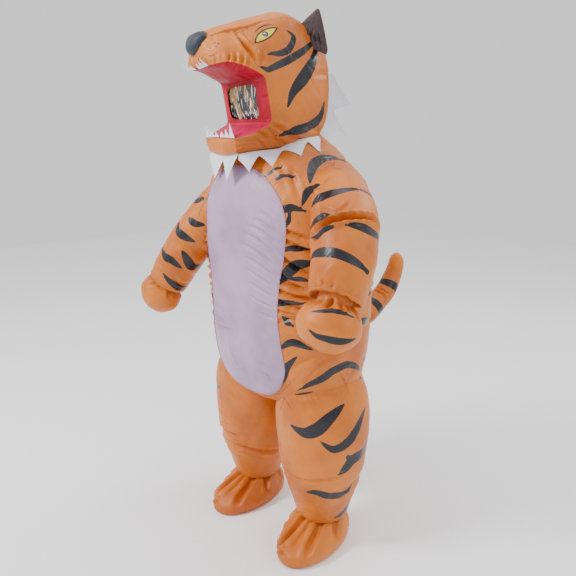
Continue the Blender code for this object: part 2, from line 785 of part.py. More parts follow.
STRIP_COLUMNS = 7
END_SEAM = 0.004
RIM_REACH = 0.15


def head_point(ahead, left, height):
    """World point from distances ahead of the head's middle, to its left, and above the floor."""
    ahead, left, height = (np.asarray(v, float)[..., None] for v in (ahead, left, height))
    return ahead * HEAD_FORWARD + left * HEAD_LEFT + height * UP


def head_values(section, name):
    """One column of the head's table at each section."""
    return smooth(np.arange(LAST + 1), column(HEAD, HEAD_COLUMNS, name), section)


def head_lines(section):
    """Inner point, outer point and the direction between them at each section."""
    inner, outer = (
        head_point(head_values(section, end + "_ahead"), 0 * section, head_values(section, end + "_height"))
        for end in ("inner", "outer")
    )
    return inner, outer, unit(outer - inner)


def head_middle(section, columns):
    """Middle of each section, inside the air chamber, once for each column."""
    inner, outer, _ = head_lines(section)
    return np.repeat(((inner + outer) / 2)[:, None], columns, 1)


def outer_strip(section, across):
    """Points of the outer strip, with across from -1 on the right seam to 1 on the left."""
    _, outer, radial = head_lines(section)
    half = head_values(section, "outer_half")[:, None, None]
    drop = head_values(section, "crown_drop")[:, None, None]
    u = across[..., None]
    return outer[:, None] + HEAD_LEFT * half * u - radial[:, None] * drop * np.abs(u) ** 2.2


def inner_strip(section, across, inwards=0.0):
    """Points of the mouth lining, with across from -1 on the right edge to 1 on the left."""
    inner, _, radial = head_lines(section)
    half = head_values(section, "inner_half")[:, None, None]
    swell = head_values(section, "mouth_swell")[:, None, None]
    u = across[..., None]
    out = inwards - swell * (1 - u**2)
    return inner[:, None] + HEAD_LEFT * half * u + radial[:, None] * out


def side_strip(section, rise, sign):
    """Points of a side panel, with rise from 0 at the mouth's edge to 1 at the outer seam."""
    inner, outer, radial = head_lines(section)
    low = inner + HEAD_LEFT * sign * head_values(section, "inner_half")[:, None]
    high = outer + HEAD_LEFT * sign * head_values(section, "outer_half")[:, None]
    high = high - radial * head_values(section, "crown_drop")[:, None]
    swell = head_values(section, "side_swell")[:, None, None] * np.sin(math.pi * rise)[None, :, None]
    v = rise[None, :, None]
    return low[:, None] * (1 - v) + high[:, None] * v + HEAD_LEFT * sign * swell


def inset(half, distance=BUTT):
    """Share of a half width left when its edge is drawn in."""
    return (1 - distance / half)[:, None]


def sections_between(first, last):
    """Sections of a strip, one every SECTION_STEP, so that neighbours share their rows."""
    return np.linspace(first, last, round((last - first) / SECTION_STEP) + 1)


def head_loops(grow):
    """Closed section loops of the whole head, on its panels' own facets, moved out by grow."""
    section = sections_between(0, LAST)
    around = np.repeat(np.linspace(-1, 1, STRIP_COLUMNS)[None], len(section), 0)
    rise = np.linspace(0, 1, STRIP_COLUMNS)
    left = side_strip(section, rise, 1)
    right = side_strip(section, rise, -1)
    top = outer_strip(section, around[:, ::-1])
    bottom = inner_strip(section, around)
    loops = np.concatenate([left[:, :-1], top[:, :-1], right[:, :0:-1], bottom[:, :-1]], 1)
    middle = np.repeat(loops.mean(1, keepdims=True), loops.shape[1], 1)
    return loops + grid_normals(wrapped(loops), wrapped(middle))[:, 1:-1] * grow


def head_solid(name, grow):
    """Filled head that cuts what stands on it."""
    return cutter(name, solid_mesh(name, head_loops(grow)))


def trimmed(section):
    """The same sections with the first and last drawn in by a seam."""
    section = section.copy()
    section[0] += END_SEAM
    section[-1] -= END_SEAM
    return section


def side_cutter(word, outer, middle):
    """A head side panel made thicker by a gap each way and longer at its two seams."""
    normals = grid_normals(outer, middle)
    near, far = (outer[:, :1] - outer[:, 1:2]) * RIM_REACH, (outer[:, -1:] - outer[:, -2:-1]) * RIM_REACH
    wide = np.concatenate([outer[:, :1] + near, outer, outer[:, -1:] + far], 1)
    normals = np.concatenate([normals[:, :1], normals, normals[:, -1:]], 1)
    mesh = shell_mesh("side_" + word, wide + normals * GAP, wide - normals * (WALL + GAP))
    return cutter("side_" + word, mesh)


def build_head(neck):
    """The head's panels, the mouth lining and the window."""
    across = np.linspace(-1, 1, STRIP_COLUMNS)[None]
    for name, first, last in (
        ("head_top", 0, TOP_END),
        ("head_nape", TOP_END, NAPE_END),
        ("underjaw", NAPE_END, LAST),
    ):
        section = trimmed(sections_between(first, last))
        outer = outer_strip(section, across * inset(head_values(section, "outer_half")))
        panel(name, outer, head_middle(section, STRIP_COLUMNS), ORANGE, cutters=(neck,))
    section = sections_between(0, LAST)
    sides = []
    for word, sign in (("left", 1), ("right", -1)):
        outer = side_strip(section, np.linspace(0, 1, STRIP_COLUMNS), sign)
        middle = head_middle(section, STRIP_COLUMNS)
        panel("head_side_" + word, outer, middle, ORANGE, cutters=(neck,))
        sides.append(side_cutter(word, outer, middle))
    for name, first, last in (("palate", 0, PALATE_END), ("mouth_floor", THROAT_END, LAST)):
        section = trimmed(sections_between(first, last))
        outer = inner_strip(section, across * inset(head_values(section, "inner_half"), WALL / 2))
        panel(name, outer, head_middle(section, STRIP_COLUMNS), RED, cutters=sides)
    build_throat()
    build_caps()


WINDOW_HALF, WINDOW_SHIFT, WINDOW_POINTS = 0.66, -0.06, 20
WINDOW_LOW, WINDOW_HIGH = 5.9, 9.7
WINDOW_SQUARENESS, THROAT_MARGIN = 0.45, 0.01
FILM_GAP, FILM_THICK = 0.0006, 0.0012
# Share of the window's size, and how far the film sags back there
FILM_RINGS = ((1.12, 0.0), (0.7, 0.003), (0.1, 0.0))


def build_throat():
    """Throat wall with its window opening, and the clear film behind it."""
    turn = np.linspace(0, 2 * math.pi, WINDOW_POINTS, endpoint=False)
    across = signed_power(np.cos(turn), WINDOW_SQUARENESS)
    along = signed_power(np.sin(turn), WINDOW_SQUARENESS)
    edge = np.maximum(np.abs(np.cos(turn)), np.abs(np.sin(turn)))
    middle = (THROAT_END + PALATE_END) / 2
    reach = (THROAT_END - PALATE_END) / 2 - THROAT_MARGIN
    wall_half = head_values(np.array([middle]), "inner_half")[0]
    hole_middle, hole_reach = (WINDOW_LOW + WINDOW_HIGH) / 2, (WINDOW_HIGH - WINDOW_LOW) / 2
    rows = []
    for share in (0.0, 0.5, 1.0):
        rim = np.cos(turn) / edge * (1 - BUTT / wall_half)
        u = (WINDOW_SHIFT + across * WINDOW_HALF) * (1 - share) + rim * share
        t = (hole_middle + along * hole_reach) * (1 - share)
        t = t + (middle + np.sin(turn) / edge * reach) * share
        rows.append(inner_strip(t, u[:, None])[:, 0])
    outer = np.array(rows)
    behind = np.repeat(head_middle(np.array([hole_middle]), 1)[:, :1], WINDOW_POINTS, 1)
    panel("throat_wall", outer, np.repeat(behind, 3, 0), RED, around=True)
    film = []
    for share, back in FILM_RINGS:
        t = hole_middle + along * hole_reach * share
        u = WINDOW_SHIFT + across * WINDOW_HALF * share
        film.append(inner_strip(t, u[:, None], WALL + FILM_GAP + back)[:, 0])
    film = np.array(film)
    away = -HEAD_FORWARD * FILM_THICK
    mesh = solid_mesh("window", np.concatenate([film[::-1], film + away]))
    add_object("window", mesh, FILM)


def cap_grid(section, columns, rows, forward, tilt):
    """Panel that closes one end of the bent tube, swelling forward."""
    at = np.array([float(section)])
    inner, outer, radial = head_lines(at)
    size = np.linalg.norm(outer - inner)
    low, high = (head_values(at, name)[0] for name in ("inner_half", "outer_half"))
    swell, drop = (head_values(at, name)[0] for name in ("side_swell", "crown_drop"))
    rise = np.linspace(CAP_INSET / size, 1 - CAP_INSET / size, rows)[:, None]
    half = low + (high - low) * rise + swell * np.sin(math.pi * rise)
    u = np.linspace(-1, 1, columns)[None, :] * (1 - CAP_INSET / half)
    top = outer[0] - radial[0] * drop * np.abs(u[..., None]) ** 2.2
    points = inner[0] * (1 - rise[..., None]) + top * rise[..., None] + HEAD_LEFT * (half * u)[..., None]
    puff = (1 - np.abs(u) ** 3) * (1 - np.abs(2 * rise - 1) ** 3)
    return points + (HEAD_FORWARD + UP * tilt) * (forward * puff)[..., None]


# Columns: section, columns, rows, forward, tilt
CAP_INSET = 1.3 * BUTT
CAP_BEHIND = 0.2
CAPS = {"muzzle_front": (0, 9, 5, 0.014, 0.2), "chin": (LAST, 9, 5, 0.012, 0.0)}
MUZZLE_DEEP = 0.05


def build_caps():
    """Muzzle front and chin."""
    for name, (section, columns, rows, forward, tilt) in CAPS.items():
        outer = cap_grid(section, columns, rows, forward, tilt)
        behind = head_middle(np.array([float(section)]), columns) - HEAD_FORWARD * CAP_BEHIND
        panel(name, outer, np.repeat(behind, rows, 0), ORANGE)


# What stands on the head


def fringe(name, base, tips, thickness, colour, cutters=()):
    """Strip of cloth with pointed teeth: base points and as many tips or valleys above them."""
    outer = np.stack([base, tips])
    mesh = shell_mesh(name, outer, outer + thickness)
    add_object(name, cut_mesh(mesh, cutters), colour)


def teeth_offsets(count, tip, valley):
    """Height of a toothed edge at each point, as a column: valleys between count tips."""
    return np.array([[valley if k % 2 == 0 else tip] for k in range(2 * count + 1)])


# How far white points start inside the head, which cuts them
ROOT, CHEEK_ROOT = 0.003, 0.005
RUFF_SECTION, RUFF_HALF, RUFF_FORWARD = LAST - 0.12, 0.98, 0.12
CHEEK_SECTIONS, MANE_SECTIONS = (LAST - 0.15, 10.6), (10.4, 7.2)
# Number of points on each edge, and the lengths of its tips and valleys
RUFF_POINTS, RUFF_TIP, RUFF_VALLEY = 2, 0.088, 0.022
CHEEK_POINTS, CHEEK_TIP, CHEEK_VALLEY = 4, 0.070, 0.016
MANE_POINTS, MANE_TIP, MANE_VALLEY = 2, 0.090, 0.024
# Shares of left, up and forward in the way that the points lean, at the chin and at the nape
CHEEK_LEAN_CHIN, CHEEK_LEAN_NAPE = (0.35, -0.90, 0.20), (0.90, -0.35, 0.0)
MANE_LEAN = (0.35, -0.50, -0.78)


def seam_points(sections, sign):
    """Points on the seam between a side panel and the outer strip."""
    return side_strip(sections, np.array([1.0]), sign)[:, 0]


def leaning(shares, sign):
    """Direction from shares of left, up and forward, on the side that sign gives."""
    left, up, forward = shares
    return HEAD_LEFT * sign * left + UP * up + HEAD_FORWARD * forward


def build_ruff(head, body):
    """White points under the chin, along both cheeks and up the back of the head."""
    drop = teeth_offsets(RUFF_POINTS, RUFF_TIP, RUFF_VALLEY)
    across = np.linspace(-RUFF_HALF, RUFF_HALF, len(drop))
    base = outer_strip(np.array([RUFF_SECTION]), across[None])[0] + UP * ROOT
    tips = base + (HEAD_FORWARD * RUFF_FORWARD - UP) * drop
    fringe("ruff_front", base, tips, HEAD_FORWARD * WALL, WHITE, (head, body))
    for word, sign in (("left", 1), ("right", -1)):
        drop = teeth_offsets(CHEEK_POINTS, CHEEK_TIP, CHEEK_VALLEY)
        sections = np.linspace(*CHEEK_SECTIONS, len(drop))
        base = seam_points(sections, sign) - UP * CHEEK_ROOT
        share = np.linspace(0, 1, len(base))[:, None]
        lean = leaning(CHEEK_LEAN_CHIN, sign) * (1 - share) + leaning(CHEEK_LEAN_NAPE, sign) * share
        tips = base + lean * drop
        fringe("ruff_" + word, base, tips, -UP * WALL, WHITE, (head, body))
        drop = teeth_offsets(MANE_POINTS, MANE_TIP, MANE_VALLEY)
        sections = np.linspace(*MANE_SECTIONS, len(drop))
        base = seam_points(sections, sign) + HEAD_FORWARD * ROOT
        tips = base + leaning(MANE_LEAN, sign) * drop
        fringe("mane_" + word, base, tips, HEAD_LEFT * sign * WALL, WHITE, (head, body))


TOOTH_THICK, LOWER_ROOT = 0.0015, 0.0005
UPPER_FIRST, UPPER_LAST, UPPER_AHEAD = 0.12, 0.97, 0.0006
UPPER_RISES = (0.003, 0.018, 0.005, 0.022, 0.006, 0.028, 0.003)
UPPER_LEAN = (0.25, 0.75, 0.90)
LOWER_SECTION, LOWER_FIRST, LOWER_LAST = LAST - 0.05, 0.04, 0.96
LOWER_RISES = (0.004, 0.018, 0.004, 0.026, 0.005, 0.046, 0.006)
LOWER_FORWARD = 0.15


def build_teeth(head):
    """Cloth teeth: the upper ones turn out over the lip, the lower ones stand on the jaw."""
    for word, sign in (("left", 1), ("right", -1)):
        across = np.linspace(UPPER_FIRST, UPPER_LAST, len(UPPER_RISES)) * sign
        base = inner_strip(np.array([0.0]), across[None])[0] + HEAD_FORWARD * UPPER_AHEAD
        tips = base + leaning(UPPER_LEAN, sign) * np.array(UPPER_RISES)[:, None]
        fringe("teeth_upper_" + word, base, tips, HEAD_FORWARD * TOOTH_THICK, WHITE, (head,))
        across = np.linspace(LOWER_FIRST, LOWER_LAST, len(LOWER_RISES)) * sign
        base = inner_strip(np.array([LOWER_SECTION]), across[None])[0] + UP * LOWER_ROOT
        tips = base + (UP + HEAD_FORWARD * LOWER_FORWARD) * np.array(LOWER_RISES)[:, None]
        fringe("teeth_lower_" + word, base, tips, -HEAD_FORWARD * TOOTH_THICK, WHITE, (head,))


NOSE_MIDDLE = (0.358, 0.0, 1.797)
# Columns: ahead, left, height
NOSE_RIM = (
    (0.312, 0.000, 1.834),
    (0.316, 0.040, 1.829),
    (0.322, 0.062, 1.808),
    (0.328, 0.055, 1.784),
    (0.334, 0.026, 1.764),
    (0.336, 0.000, 1.758),
)


NOSE_AROUND, NOSE_SHARES, NOSE_BEHIND = 16, (1.0, 0.88, 0.55, 0.1), 0.04


def muzzle_solid():
    """Filled muzzle front, a gap out from its panel, that cuts the nose."""
    outer = cap_grid(*CAPS["muzzle_front"])
    mesh = shell_mesh("muzzle", outer + HEAD_FORWARD * GAP, outer - HEAD_FORWARD * MUZZLE_DEEP)
    return cutter("muzzle_outer", mesh)


def build_nose(head):
    """Padded nose: a dome over a five-sided rim."""
    rim = list(NOSE_RIM) + [(a, -l, h) for a, l, h in NOSE_RIM[-2:0:-1]]
    rim = np.array(rim)
    places = np.linspace(0, len(rim), NOSE_AROUND, endpoint=False)
    around = curve(np.arange(len(rim) + 1), np.concatenate([rim, rim[:1]]), places)
    loop = head_point(around[:, 0], around[:, 1], around[:, 2])
    middle = head_point(*[np.array([v]) for v in NOSE_MIDDLE])[0]
    rows = []
    for share in NOSE_SHARES:
        lift = math.sqrt(1 - share**2)
        flat = loop.mean(0) + (loop - loop.mean(0)) * share
        rows.append(flat + (middle - loop.mean(0)) * lift)
    outer = np.array(rows)
    inner = outer - unit(outer - (loop.mean(0) - HEAD_FORWARD * NOSE_BEHIND)) * WALL
    mesh = solid_mesh("nose", np.concatenate([outer[::-1], inner]))
    add_object("nose", cut_mesh(mesh, (head, muzzle_solid())), BLACK)


EAR_INNER = (0.030, 0.088, 1.836)
EAR_OUTER = (-0.058, 0.168, 1.782)
EAR_TIP = (-0.032, 0.150, 1.909)
# Rise of each row from below the ear's root to its tip
EAR_RISES = (-0.16, 0.1, 0.4, 0.7, 0.97)
EAR_COLUMNS, EAR_POINTING = 5, 0.85
# Columns: part, colour, side, puff
EAR_PARTS = (("front", EAR_DARK, 1, 0.006), ("back", ORANGE, -1, 0.026))


def build_ears(head):
    """Two-panel ears: a dark front and an orange back, puffed apart."""
    rise = np.array(EAR_RISES)[:, None, None]
    u = np.linspace(-1, 1, EAR_COLUMNS)[None, :, None]
    width = np.clip(1 - rise, 0, 1) ** EAR_POINTING
    puff = (1 - u**2) * np.clip(1 - rise**2, 0, 1)
    for word, sign in (("left", 1), ("right", -1)):
        corners = (EAR_INNER, EAR_OUTER, EAR_TIP)
        first, second, tip = (head_point(ahead, sign * left, high) for ahead, left, high in corners)
        base = (first + second) / 2
        half = (second - first) / 2
        up = tip - base
        face = unit(np.cross(half, up))
        face = face if np.dot(face, HEAD_FORWARD) > 0 else -face
        flat = base + half * u * width + up * rise
        for part, colour, side, depth in EAR_PARTS:
            near = flat + face * side * (puff * depth + GAP)
            far = near + face * side * WALL
            mesh = shell_mesh("ear", far, near)
            add_object(f"ear_{word}_{part}", cut_mesh(mesh, (head,)), colour)


TAIL_PLACES = even_rows(0, 1, 12, (0.955, 0.985))
TAIL_ANGLES = np.linspace(0, 2 * math.pi, 10, endpoint=False)
TAIL_ROOT = 0.5


def main():
    """Builds every piece."""
    for obj in list(bpy.data.objects):
        bpy.data.objects.remove(obj, do_unlink=True)
    body = torso_solid("torso_outer", -GAP)
    neck = torso_solid("neck_hollow", WALL)
    head = head_solid("head_outer", GAP)
    tubes = limbs()
    body_cutters = [
        tube.solid(name + "_hollow", WALL, tube.all_rows(), LIMB_ANGLES) for name, tube in tubes.items()
    ]
    legs = [
        tube.solid(name + "_outside", -GAP, tube.all_rows(), LIMB_ANGLES)
        for name, tube in tubes.items()
        if name.startswith("leg")
    ]
    tail = Tube(TAIL, (1, 0, 0), 0)
    root = TAIL_PLACES[TAIL_PLACES < TAIL_ROOT]
    body_cutters.append(tail.solid("tail_hollow", WALL, root, TAIL_ANGLES))
    build_torso([*body_cutters, head])
    build_gusset(legs)
    for name, tube in tubes.items():
        tube.make_panel(name + "_outer", ORANGE, -90, 90, LIMB_COLUMNS, (body,))
        tube.make_panel(name + "_inner", ORANGE, 90, 270, LIMB_COLUMNS, (body,))
    pouch("tail", tail, TAIL_PLACES, TAIL_ANGLES, (body,))
    build_mitts(tubes)
    build_shoes()
    build_head(neck)
    build_ruff(head, body)
    build_teeth(head)
    build_nose(head)
    build_ears(head)


main()
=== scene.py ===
"""Looks of the inflatable tiger costume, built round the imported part.

Each cut piece is a thin shell of cloth on the form of its solid. Tables give heights above the
ground in metres; finished pieces are lowered by HOLD_HEIGHT, so that the origin is the shoulder line.
"""

import logging
import math
from dataclasses import dataclass, field, replace
from enum import Enum
from typing import Callable

import bpy
import numpy as np
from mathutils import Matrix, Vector
from mathutils.bvhtree import BVHTree


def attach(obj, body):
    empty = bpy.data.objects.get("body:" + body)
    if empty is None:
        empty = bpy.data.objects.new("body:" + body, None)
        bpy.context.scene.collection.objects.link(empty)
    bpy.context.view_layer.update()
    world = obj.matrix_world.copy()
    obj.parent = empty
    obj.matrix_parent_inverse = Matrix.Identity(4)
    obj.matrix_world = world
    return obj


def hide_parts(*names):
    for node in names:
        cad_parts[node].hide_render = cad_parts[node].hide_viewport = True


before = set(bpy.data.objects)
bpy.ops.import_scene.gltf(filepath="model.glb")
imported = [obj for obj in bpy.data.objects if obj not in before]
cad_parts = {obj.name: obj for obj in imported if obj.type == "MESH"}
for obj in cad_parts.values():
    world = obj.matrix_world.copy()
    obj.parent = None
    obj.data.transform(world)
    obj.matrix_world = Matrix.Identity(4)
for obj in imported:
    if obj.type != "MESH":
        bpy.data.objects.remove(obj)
log = logging.getLogger("tiger")

Array = np.ndarray
Colour = tuple[float, float, float]
Socket = bpy.types.NodeSocket
Tree = bpy.types.NodeTree
Mesh = bpy.types.Mesh
Object = bpy.types.Object

HOLD_HEIGHT = 1.40
WALL = 0.001
UP = np.array((0.0, 0.0, 1.0))
SIDES = (("left", 1), ("right", -1))
WHOLE, ACROSS, TURN, TURN_BACK = (0.0, 1.0), (-1.0, 1.0), (0.0, 360.0), (-180.0, 180.0)


class Edge(Enum):
    """Edges of a panel's grid."""

    START = "first column"
    END = "last column"
    LOW = "first row"
    HIGH = "last row"


SEWN = tuple(Edge)
SIDE_SEAMS = (Edge.START, Edge.END)


class Held(Enum):
    STRETCHED = "stretched"
    GATHERED = "gathered"


# Curves, noise and small vector helpers


def unit(vectors: Array) -> Array:
    """Each vector divided by its length."""
    return vectors / np.maximum(np.linalg.norm(vectors, axis=-1, keepdims=True), 1e-12)


def smooth(knots: Array, values: Array, at: Array) -> Array:
    """Monotone cubic curve through values at knots.

    Args:
        knots: Increasing places of the values.
        values: One value at each knot.
        at: Places to read, held inside the knots.

    Returns:
        The curve's value at each place.
    """
    knots, values = np.asarray(knots, float), np.asarray(values, float)
    at = np.clip(np.asarray(at, float), knots[0], knots[-1])
    step = np.diff(knots)
    slope = np.diff(values) / step
    tangent = np.zeros(len(knots))
    tangent[0], tangent[-1] = slope[0], slope[-1]
    for i in range(1, len(knots) - 1):
        if slope[i - 1] * slope[i] > 0:
            before, after = 2 * step[i] + step[i - 1], step[i] + 2 * step[i - 1]
            tangent[i] = (before + after) / (before / slope[i - 1] + after / slope[i])
    i = np.clip(np.searchsorted(knots, at, side="right") - 1, 0, len(step) - 1)
    t = (at - knots[i]) / step[i]
    return (
        (2 * t**3 - 3 * t**2 + 1) * values[i]
        + (t**3 - 2 * t**2 + t) * step[i] * tangent[i]
        + (3 * t**2 - 2 * t**3) * values[i + 1]
        + (t**3 - t**2) * step[i] * tangent[i + 1]
    )


def curves(table: Array, at: Array) -> list:
    """Smooth curves through a table's columns, against its first one."""
    knots, *columns = np.asarray(table, float).T
    return [smooth(knots, values, at) for values in columns]


def numbered(rows: Array) -> Array:
    """Rows with their numbers in front."""
    return np.column_stack([np.arange(len(rows)), np.asarray(rows, float)])


def through(points: Array, count: int) -> Array:
    """Smooth line of count points through a few points, in any number of coordinates."""
    return np.stack(curves(numbered(points), np.linspace(0, len(points) - 1, count)), -1)


def signed_power(x: Array, power: float) -> Array:
    """|x| raised to power, with the sign of x."""
    return np.sign(x) * np.abs(x) ** power


def hump(distance: Array, width: float) -> Array:
    """1 on a line, falling to 0 at width from it."""
    return np.clip(1 - (distance / width) ** 2, 0, 1)


def bump(distance: Array, width: float) -> Array:
    """1 on a line, falling smoothly to 0 at width from it."""
    t = hump(distance, width)
    return t * t


def turn_from(middle: float, angle: Array) -> Array:
    """Turn in radians, between -pi and pi, from a middle in degrees to angles in radians."""
    return np.angle(np.exp(1j * (angle - math.radians(middle))))


def wave(at: Array, seed: int) -> Array:
    """Uneven wave between about -1 and 1, with a wavelength of about 1."""
    chance = np.random.default_rng(seed)
    rates = chance.uniform(0.55, 1.5, 5)
    phases = chance.uniform(0, 2 * math.pi, 5)
    sizes = chance.uniform(0.5, 1.0, 5)
    total = sum(s * np.sin(2 * math.pi * r * at + p) for r, p, s in zip(rates, phases, sizes))
    return total / (0.62 * sizes.sum())


def unevenness(points: Array, wavelength: float, seed: int) -> Array:
    """Smooth noise in space, so that neighbouring panels agree at their seam.

    Args:
        points: Points in metres.
        wavelength: Usual distance between swellings.
        seed: Number that fixes the pattern.

    Returns:
        Values between about -1 and 1.
    """
    chance = np.random.default_rng(seed)
    total = 0.0
    for _ in range(9):
        direction = unit(chance.normal(size=3))
        rate = 2 * math.pi / (wavelength * chance.uniform(0.7, 1.6))
        total = total + np.sin(points @ direction * rate + chance.uniform(0, 2 * math.pi))
    return total / 4.5


# Forms that the cloth lies on


class Form:
    """Smooth surface with two coordinates, u across and v along, and the way that it faces."""

    steps = (0.05, 0.002)
    facing = (0.0, 0.0, -1.0)

    def point(self, u: Array, v: Array) -> Array:
        """Points of the surface."""
        raise NotImplementedError

    def middle(self, u: Array, v: Array) -> Array:
        """Points inside the air chamber behind each point."""
        return self.point(u, v) - self.facing

    def normal(self, u: Array, v: Array) -> Array:
        """Unit normals that face out of the air chamber."""
        across = self.point(u + self.steps[0], v) - self.point(u - self.steps[0], v)
        along = self.point(u, v + self.steps[1]) - self.point(u, v - self.steps[1])
        normals = unit(np.cross(across, along))
        out = np.sum(normals * (self.point(u, v) - self.middle(u, v)))
        return normals if out > 0 else -normals


# Height, half width, front and back
TORSO = (
    (0.545, 0.100, 0.075, 0.080),
    (0.560, 0.190, 0.135, 0.145),
    (0.600, 0.282, 0.192, 0.196),
    (0.660, 0.316, 0.217, 0.220),
    (0.740, 0.330, 0.230, 0.232),
    (0.850, 0.340, 0.238, 0.236),
    (1.000, 0.348, 0.243, 0.238),
    (1.150, 0.357, 0.249, 0.240),
    (1.250, 0.352, 0.249, 0.236),
    (1.330, 0.318, 0.242, 0.222),
    (1.390, 0.262, 0.226, 0.198),
    (1.430, 0.214, 0.204, 0.172),
    (1.465, 0.176, 0.172, 0.148),
    (1.500, 0.145, 0.140, 0.105),
    (1.530, 0.115, 0.118, 0.080),
)
# Height and half angle
BELLY = (
    (0.592, 0.5),
    (0.598, 12.0),
    (0.622, 25.0),
    (0.665, 33.0),
    (0.730, 36.5),
    (0.830, 33.5),
    (0.930, 31.5),
    (1.030, 33.0),
    (1.130, 36.5),
    (1.230, 38.0),
    (1.305, 36.0),
    (1.365, 29.0),
    (1.402, 17.0),
    (1.412, 0.5),
)


class TorsoForm(Form):
    """Torso: u is the angle in degrees, 0 in front and 90 at the left side, and v the height."""

    squareness = 2.25

    def point(self, u: Array, v: Array) -> Array:
        """Points of the torso."""
        wide, front, back = curves(TORSO, v)
        angle = np.radians(u)
        power = 2 / self.squareness
        deep = np.where(np.cos(angle) > 0, front, back)
        x = wide * signed_power(np.sin(angle), power)
        return np.stack([x, -deep * signed_power(np.cos(angle), power), v + 0 * u], -1)

    def middle(self, u: Array, v: Array) -> Array:
        """Points near the torso's axis."""
        return self.point(u, v) * np.array((0.3, 0.3, 1.0))


def belly_side(sign: int) -> Callable:
    """One edge of the belly panel, as a function of v."""
    return lambda v: sign * belly_edge(v)


def belly_edge(v: Array) -> Array:
    """Half angle of the belly panel in degrees, 0 above and below it."""
    return np.where((v >= BELLY[0][0]) & (v <= BELLY[-1][0]), curves(BELLY, v)[0], 0.0)


@dataclass
class TubeForm(Form):
    """Round tube along a line: u is the angle in degrees from outwards, v the share of its length.

    Attributes:
        table: Rows of x, y, z, wide, deep.
        outwards: Direction that angle 0 faces.
        folds: Rows of place, slope, depth, width, middle, reach for its largest folds.
        arch: Middle, reach, height and first place of an arch in its end, if it has one.
    """

    table: tuple
    outwards: tuple
    folds: tuple = ()
    arch: tuple = ()

    def sizes(self, v: Array) -> list:
        """x, y, z, wide and deep at each place."""
        rows = np.array(self.table, float)
        run = np.concatenate([[0], np.cumsum(np.linalg.norm(np.diff(rows[:, :3], axis=0), axis=1))])
        return curves(np.column_stack([run / run[-1], rows]), v)

    def frames(self, v: Array) -> tuple[Array, Array, Array, Array]:
        """Centre, direction, outward axis and side axis at each place."""
        v = np.clip(v, 0, 1)
        ahead, behind = np.clip(v + 0.01, 0, 1), np.clip(v - 0.01, 0, 1)
        centre, ahead, behind = (np.stack(self.sizes(at)[:3], -1) for at in (v, ahead, behind))
        direction = unit(ahead - behind)
        side = unit(np.cross(direction, np.array(self.outwards, float)))
        return centre, direction, np.cross(side, direction), side

    def point(self, u: Array, v: Array) -> Array:
        """Points of the tube."""
        centre, ahead, out, side = self.frames(v)
        angle = np.radians(u)
        drop = 0 * angle
        for place, slope, depth, width, middle, reach in self.folds:
            turn = turn_from(middle, angle)
            fade = hump(turn, math.radians(reach))
            drop = drop + depth * fade * bump(v - place - slope * turn, width)
        wide, deep = self.sizes(v)[3:]
        x, y = (wide - drop) * np.cos(angle), (deep - drop) * np.sin(angle)
        place = centre + out * x[..., None] + side * y[..., None]
        if self.arch:
            middle, reach, height, first = self.arch
            fade = hump(turn_from(middle, angle), math.radians(reach))
            share = np.clip((v - first) / (1 - first), 0, 1)
            place = place - ahead * (height * fade * share**2)[..., None]
        return place

    def middle(self, u: Array, v: Array) -> Array:
        """Points of the centre line."""
        return self.frames(v + 0 * u)[0]


HEAD_TURN = math.radians(12)
HEAD_FORWARD = np.array((-math.sin(HEAD_TURN), -math.cos(HEAD_TURN), 0.0))
HEAD_LEFT = np.array((math.cos(HEAD_TURN), -math.sin(HEAD_TURN), 0.0))
HEAD_COLUMNS = (
    "outer_ahead", "outer_height", "inner_ahead", "inner_height", "inner_half", "outer_half",
    "side_swell", "crown_drop", "mouth_swell",
)
HEAD = (
    (0.322, 1.824, 0.330, 1.722, 0.098, 0.058, 0.012, 0.016, 0.004),
    (0.285, 1.842, 0.285, 1.731, 0.142, 0.085, 0.012, 0.018, 0.016),
    (0.225, 1.862, 0.235, 1.718, 0.168, 0.105, 0.012, 0.020, 0.026),
    (0.150, 1.884, 0.196, 1.700, 0.179, 0.118, 0.014, 0.024, 0.018),
    (0.060, 1.905, 0.183, 1.692, 0.181, 0.122, 0.016, 0.030, 0.004),
    (-0.020, 1.880, 0.176, 1.684, 0.181, 0.120, 0.017, 0.034, 0.000),
    (-0.088, 1.822, 0.173, 1.672, 0.181, 0.118, 0.018, 0.034, 0.002),
    (-0.122, 1.745, 0.169, 1.650, 0.181, 0.118, 0.020, 0.034, 0.006),
    (-0.130, 1.662, 0.163, 1.615, 0.181, 0.118, 0.022, 0.034, 0.008),
    (-0.122, 1.592, 0.157, 1.578, 0.181, 0.120, 0.020, 0.032, 0.004),
    (-0.100, 1.532, 0.155, 1.560, 0.181, 0.126, 0.018, 0.030, 0.000),
    (-0.055, 1.494, 0.160, 1.549, 0.181, 0.134, 0.016, 0.026, 0.000),
    (0.015, 1.474, 0.172, 1.541, 0.180, 0.140, 0.014, 0.022, 0.004),
    (0.110, 1.462, 0.195, 1.529, 0.175, 0.143, 0.012, 0.018, 0.010),
    (0.185, 1.455, 0.225, 1.514, 0.158, 0.133, 0.010, 0.014, 0.010),
    (0.250, 1.446, 0.262, 1.502, 0.128, 0.114, 0.006, 0.010, 0.002),
)
LAST = len(HEAD) - 1
SECTION_STEP = LAST / 24
PALATE_END, THROAT_END = 7 * SECTION_STEP, 17 * SECTION_STEP
TOP_END, NAPE_END = 10 * SECTION_STEP, 18 * SECTION_STEP


def head_point(ahead: Array, left: Array, height: Array) -> Array:
    """Points from distances ahead of the head's middle, to its left, and above the ground."""
    ahead, left, height = (np.asarray(v, float)[..., None] for v in (ahead, left, height))
    return ahead * HEAD_FORWARD + left * HEAD_LEFT + height * UP


